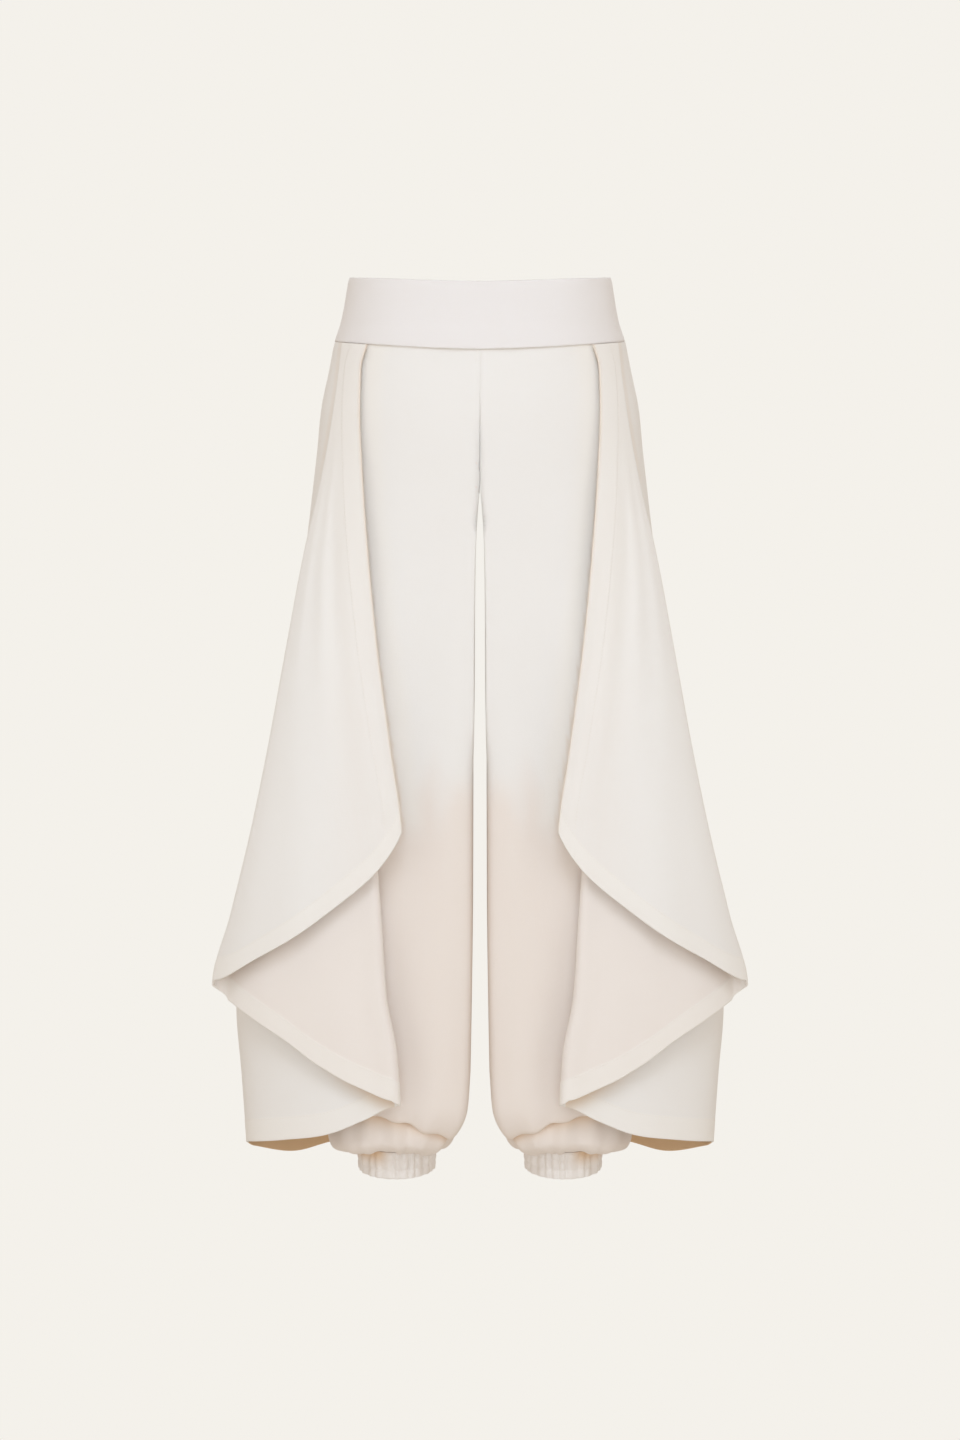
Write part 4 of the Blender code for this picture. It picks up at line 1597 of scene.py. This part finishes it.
@dataclass(frozen=True)
class Studio:
    """A pale seamless room with soft lights and the camera."""

    pale: tuple[float, float, float] = (0.905, 0.879, 0.828)
    floor: float = -1.75
    reach: float = 9.0
    eye: tuple[float, float, float] = (0.0, -3.2, -0.10)
    pitch: float = 7.0
    lens: float = 71.46
    aim: tuple[float, float, float] = (0.0, 0.0, -0.45)
    air: tuple[float, float, float] = (0.62, 0.55, 0.47)

    def room(self) -> None:
        """The floor, which curves up into a dome: a profile turned about the vertical.

        The profile is flat to half the reach; past that it is a quarter of a superellipse.
        """
        turn = np.linspace(0, 2 * np.pi, 96, endpoint=False)
        flat = np.stack([np.linspace(0.05, 0.5, 6) * self.reach, np.full(6, self.floor)], axis=-1)
        rise = np.linspace(-np.pi / 2, np.pi / 2 * 0.98, 40)[1:]
        wide = self.reach * (0.5 + 0.5 * np.cos(rise) ** 0.7)
        wide = np.where(rise > 0, self.reach * np.cos(rise) ** 0.7, wide)
        high = self.floor + self.reach * 0.6 * (1 + np.sin(rise))
        profile = np.concatenate([flat, np.stack([wide, high], axis=-1)])
        radius, height = profile[:, 0][:, None], profile[:, 1][:, None]
        grid = np.stack([radius * np.cos(turn), radius * np.sin(turn), height + 0 * turn], axis=-1)
        index = np.arange(grid.shape[0] * grid.shape[1]).reshape(grid.shape[:2])
        index = np.hstack([index, index[:, :1]])
        faces = np.stack([index[:-1, :-1], index[1:, :-1], index[1:, 1:], index[:-1, 1:]], axis=-1)
        caps = [index[0, :-1], index[-1, :-1][::-1]]
        mesh = bpy.data.meshes.new("studio_room")
        quads = faces.reshape(-1, 4).tolist() + [c.tolist() for c in caps]
        mesh.from_pydata(grid.reshape(-1, 3).tolist(), [], quads)
        mesh.shade_smooth()
        graph = Graph("pale_room")
        graph.feed(graph.shader.inputs["Base Color"], (0.0, 0.0, 0.0, 1.0))
        graph.feed(graph.shader.inputs["Specular IOR Level"], 0.0)
        graph.feed(graph.shader.inputs["Emission Color"], (*self.pale, 1.0))
        graph.feed(graph.shader.inputs["Emission Strength"], 1.0)
        room = piece_of(mesh, graph.material)
        room.visible_diffuse = False
        room.visible_glossy = False
        room.visible_shadow = False

    def light(self, lamp: Lamp) -> None:
        """Hangs a lamp that faces the trousers and doesn't show in the picture.

        Args:
            lamp: Where it hangs and how it shines.
        """
        data = bpy.data.lights.new(lamp.name, "AREA")
        data.size = lamp.size
        data.energy = lamp.watts
        data.color = lamp.colour
        holder = bpy.data.objects.new(lamp.name, data)
        holder.location = lamp.place
        aim = Vector(self.aim) - Vector(lamp.place)
        holder.rotation_euler = aim.to_track_quat("-Z", "Y").to_euler()
        holder.visible_camera = False
        bpy.context.scene.collection.objects.link(holder)

    def camera(self) -> None:
        """The camera at the photograph's angle."""
        camera = bpy.data.cameras.new("camera")
        camera.lens = self.lens
        camera.sensor_width = 36.0
        holder = bpy.data.objects.new("camera", camera)
        holder.location = self.eye
        holder.rotation_euler = (math.radians(90.0 - self.pitch), 0.0, 0.0)
        bpy.context.scene.collection.objects.link(holder)
        bpy.context.scene.camera = holder

    def build(self) -> None:
        """Makes the room, the lights and the camera."""
        self.room()
        for lamp in LAMPS:
            self.light(lamp)
        self.camera()
        scene = bpy.context.scene
        scene.view_settings.view_transform = "Standard"
        world = bpy.data.worlds.new("room_air")
        world.use_nodes = True
        world.node_tree.nodes["Background"].inputs["Color"].default_value = (*self.air, 1.0)
        scene.world = world


CREAM = Crepe(
    "cream_crepe",
    cloth=(0.885, 0.86, 0.83),
    shaded=(0.87, 0.785, 0.72),
    doubled=(0.92, 0.885, 0.835),
    wrong_side=(0.88, 0.815, 0.765),
)
BAND_CREPE = Crepe(
    "band_crepe",
    cloth=(0.855, 0.82, 0.805),
    shaded=(0.84, 0.79, 0.76),
    doubled=(0.86, 0.83, 0.80),
    wrong_side=(0.87, 0.79, 0.71),
)


def main() -> None:
    """Builds every piece in order."""
    logging.basicConfig(level=logging.INFO, format="%(name)s: %(message)s")
    cream = CREAM.material()
    Waistband().build(BAND_CREPE.material())
    cuff = Cuff()
    cuff.build(cream)
    Leg(cuff).build(cream)
    lines = Overlay().build(cream)
    HemStitches().build(lines, Thread().material())
    Studio().build()


if __name__ == "__main__":
    main()
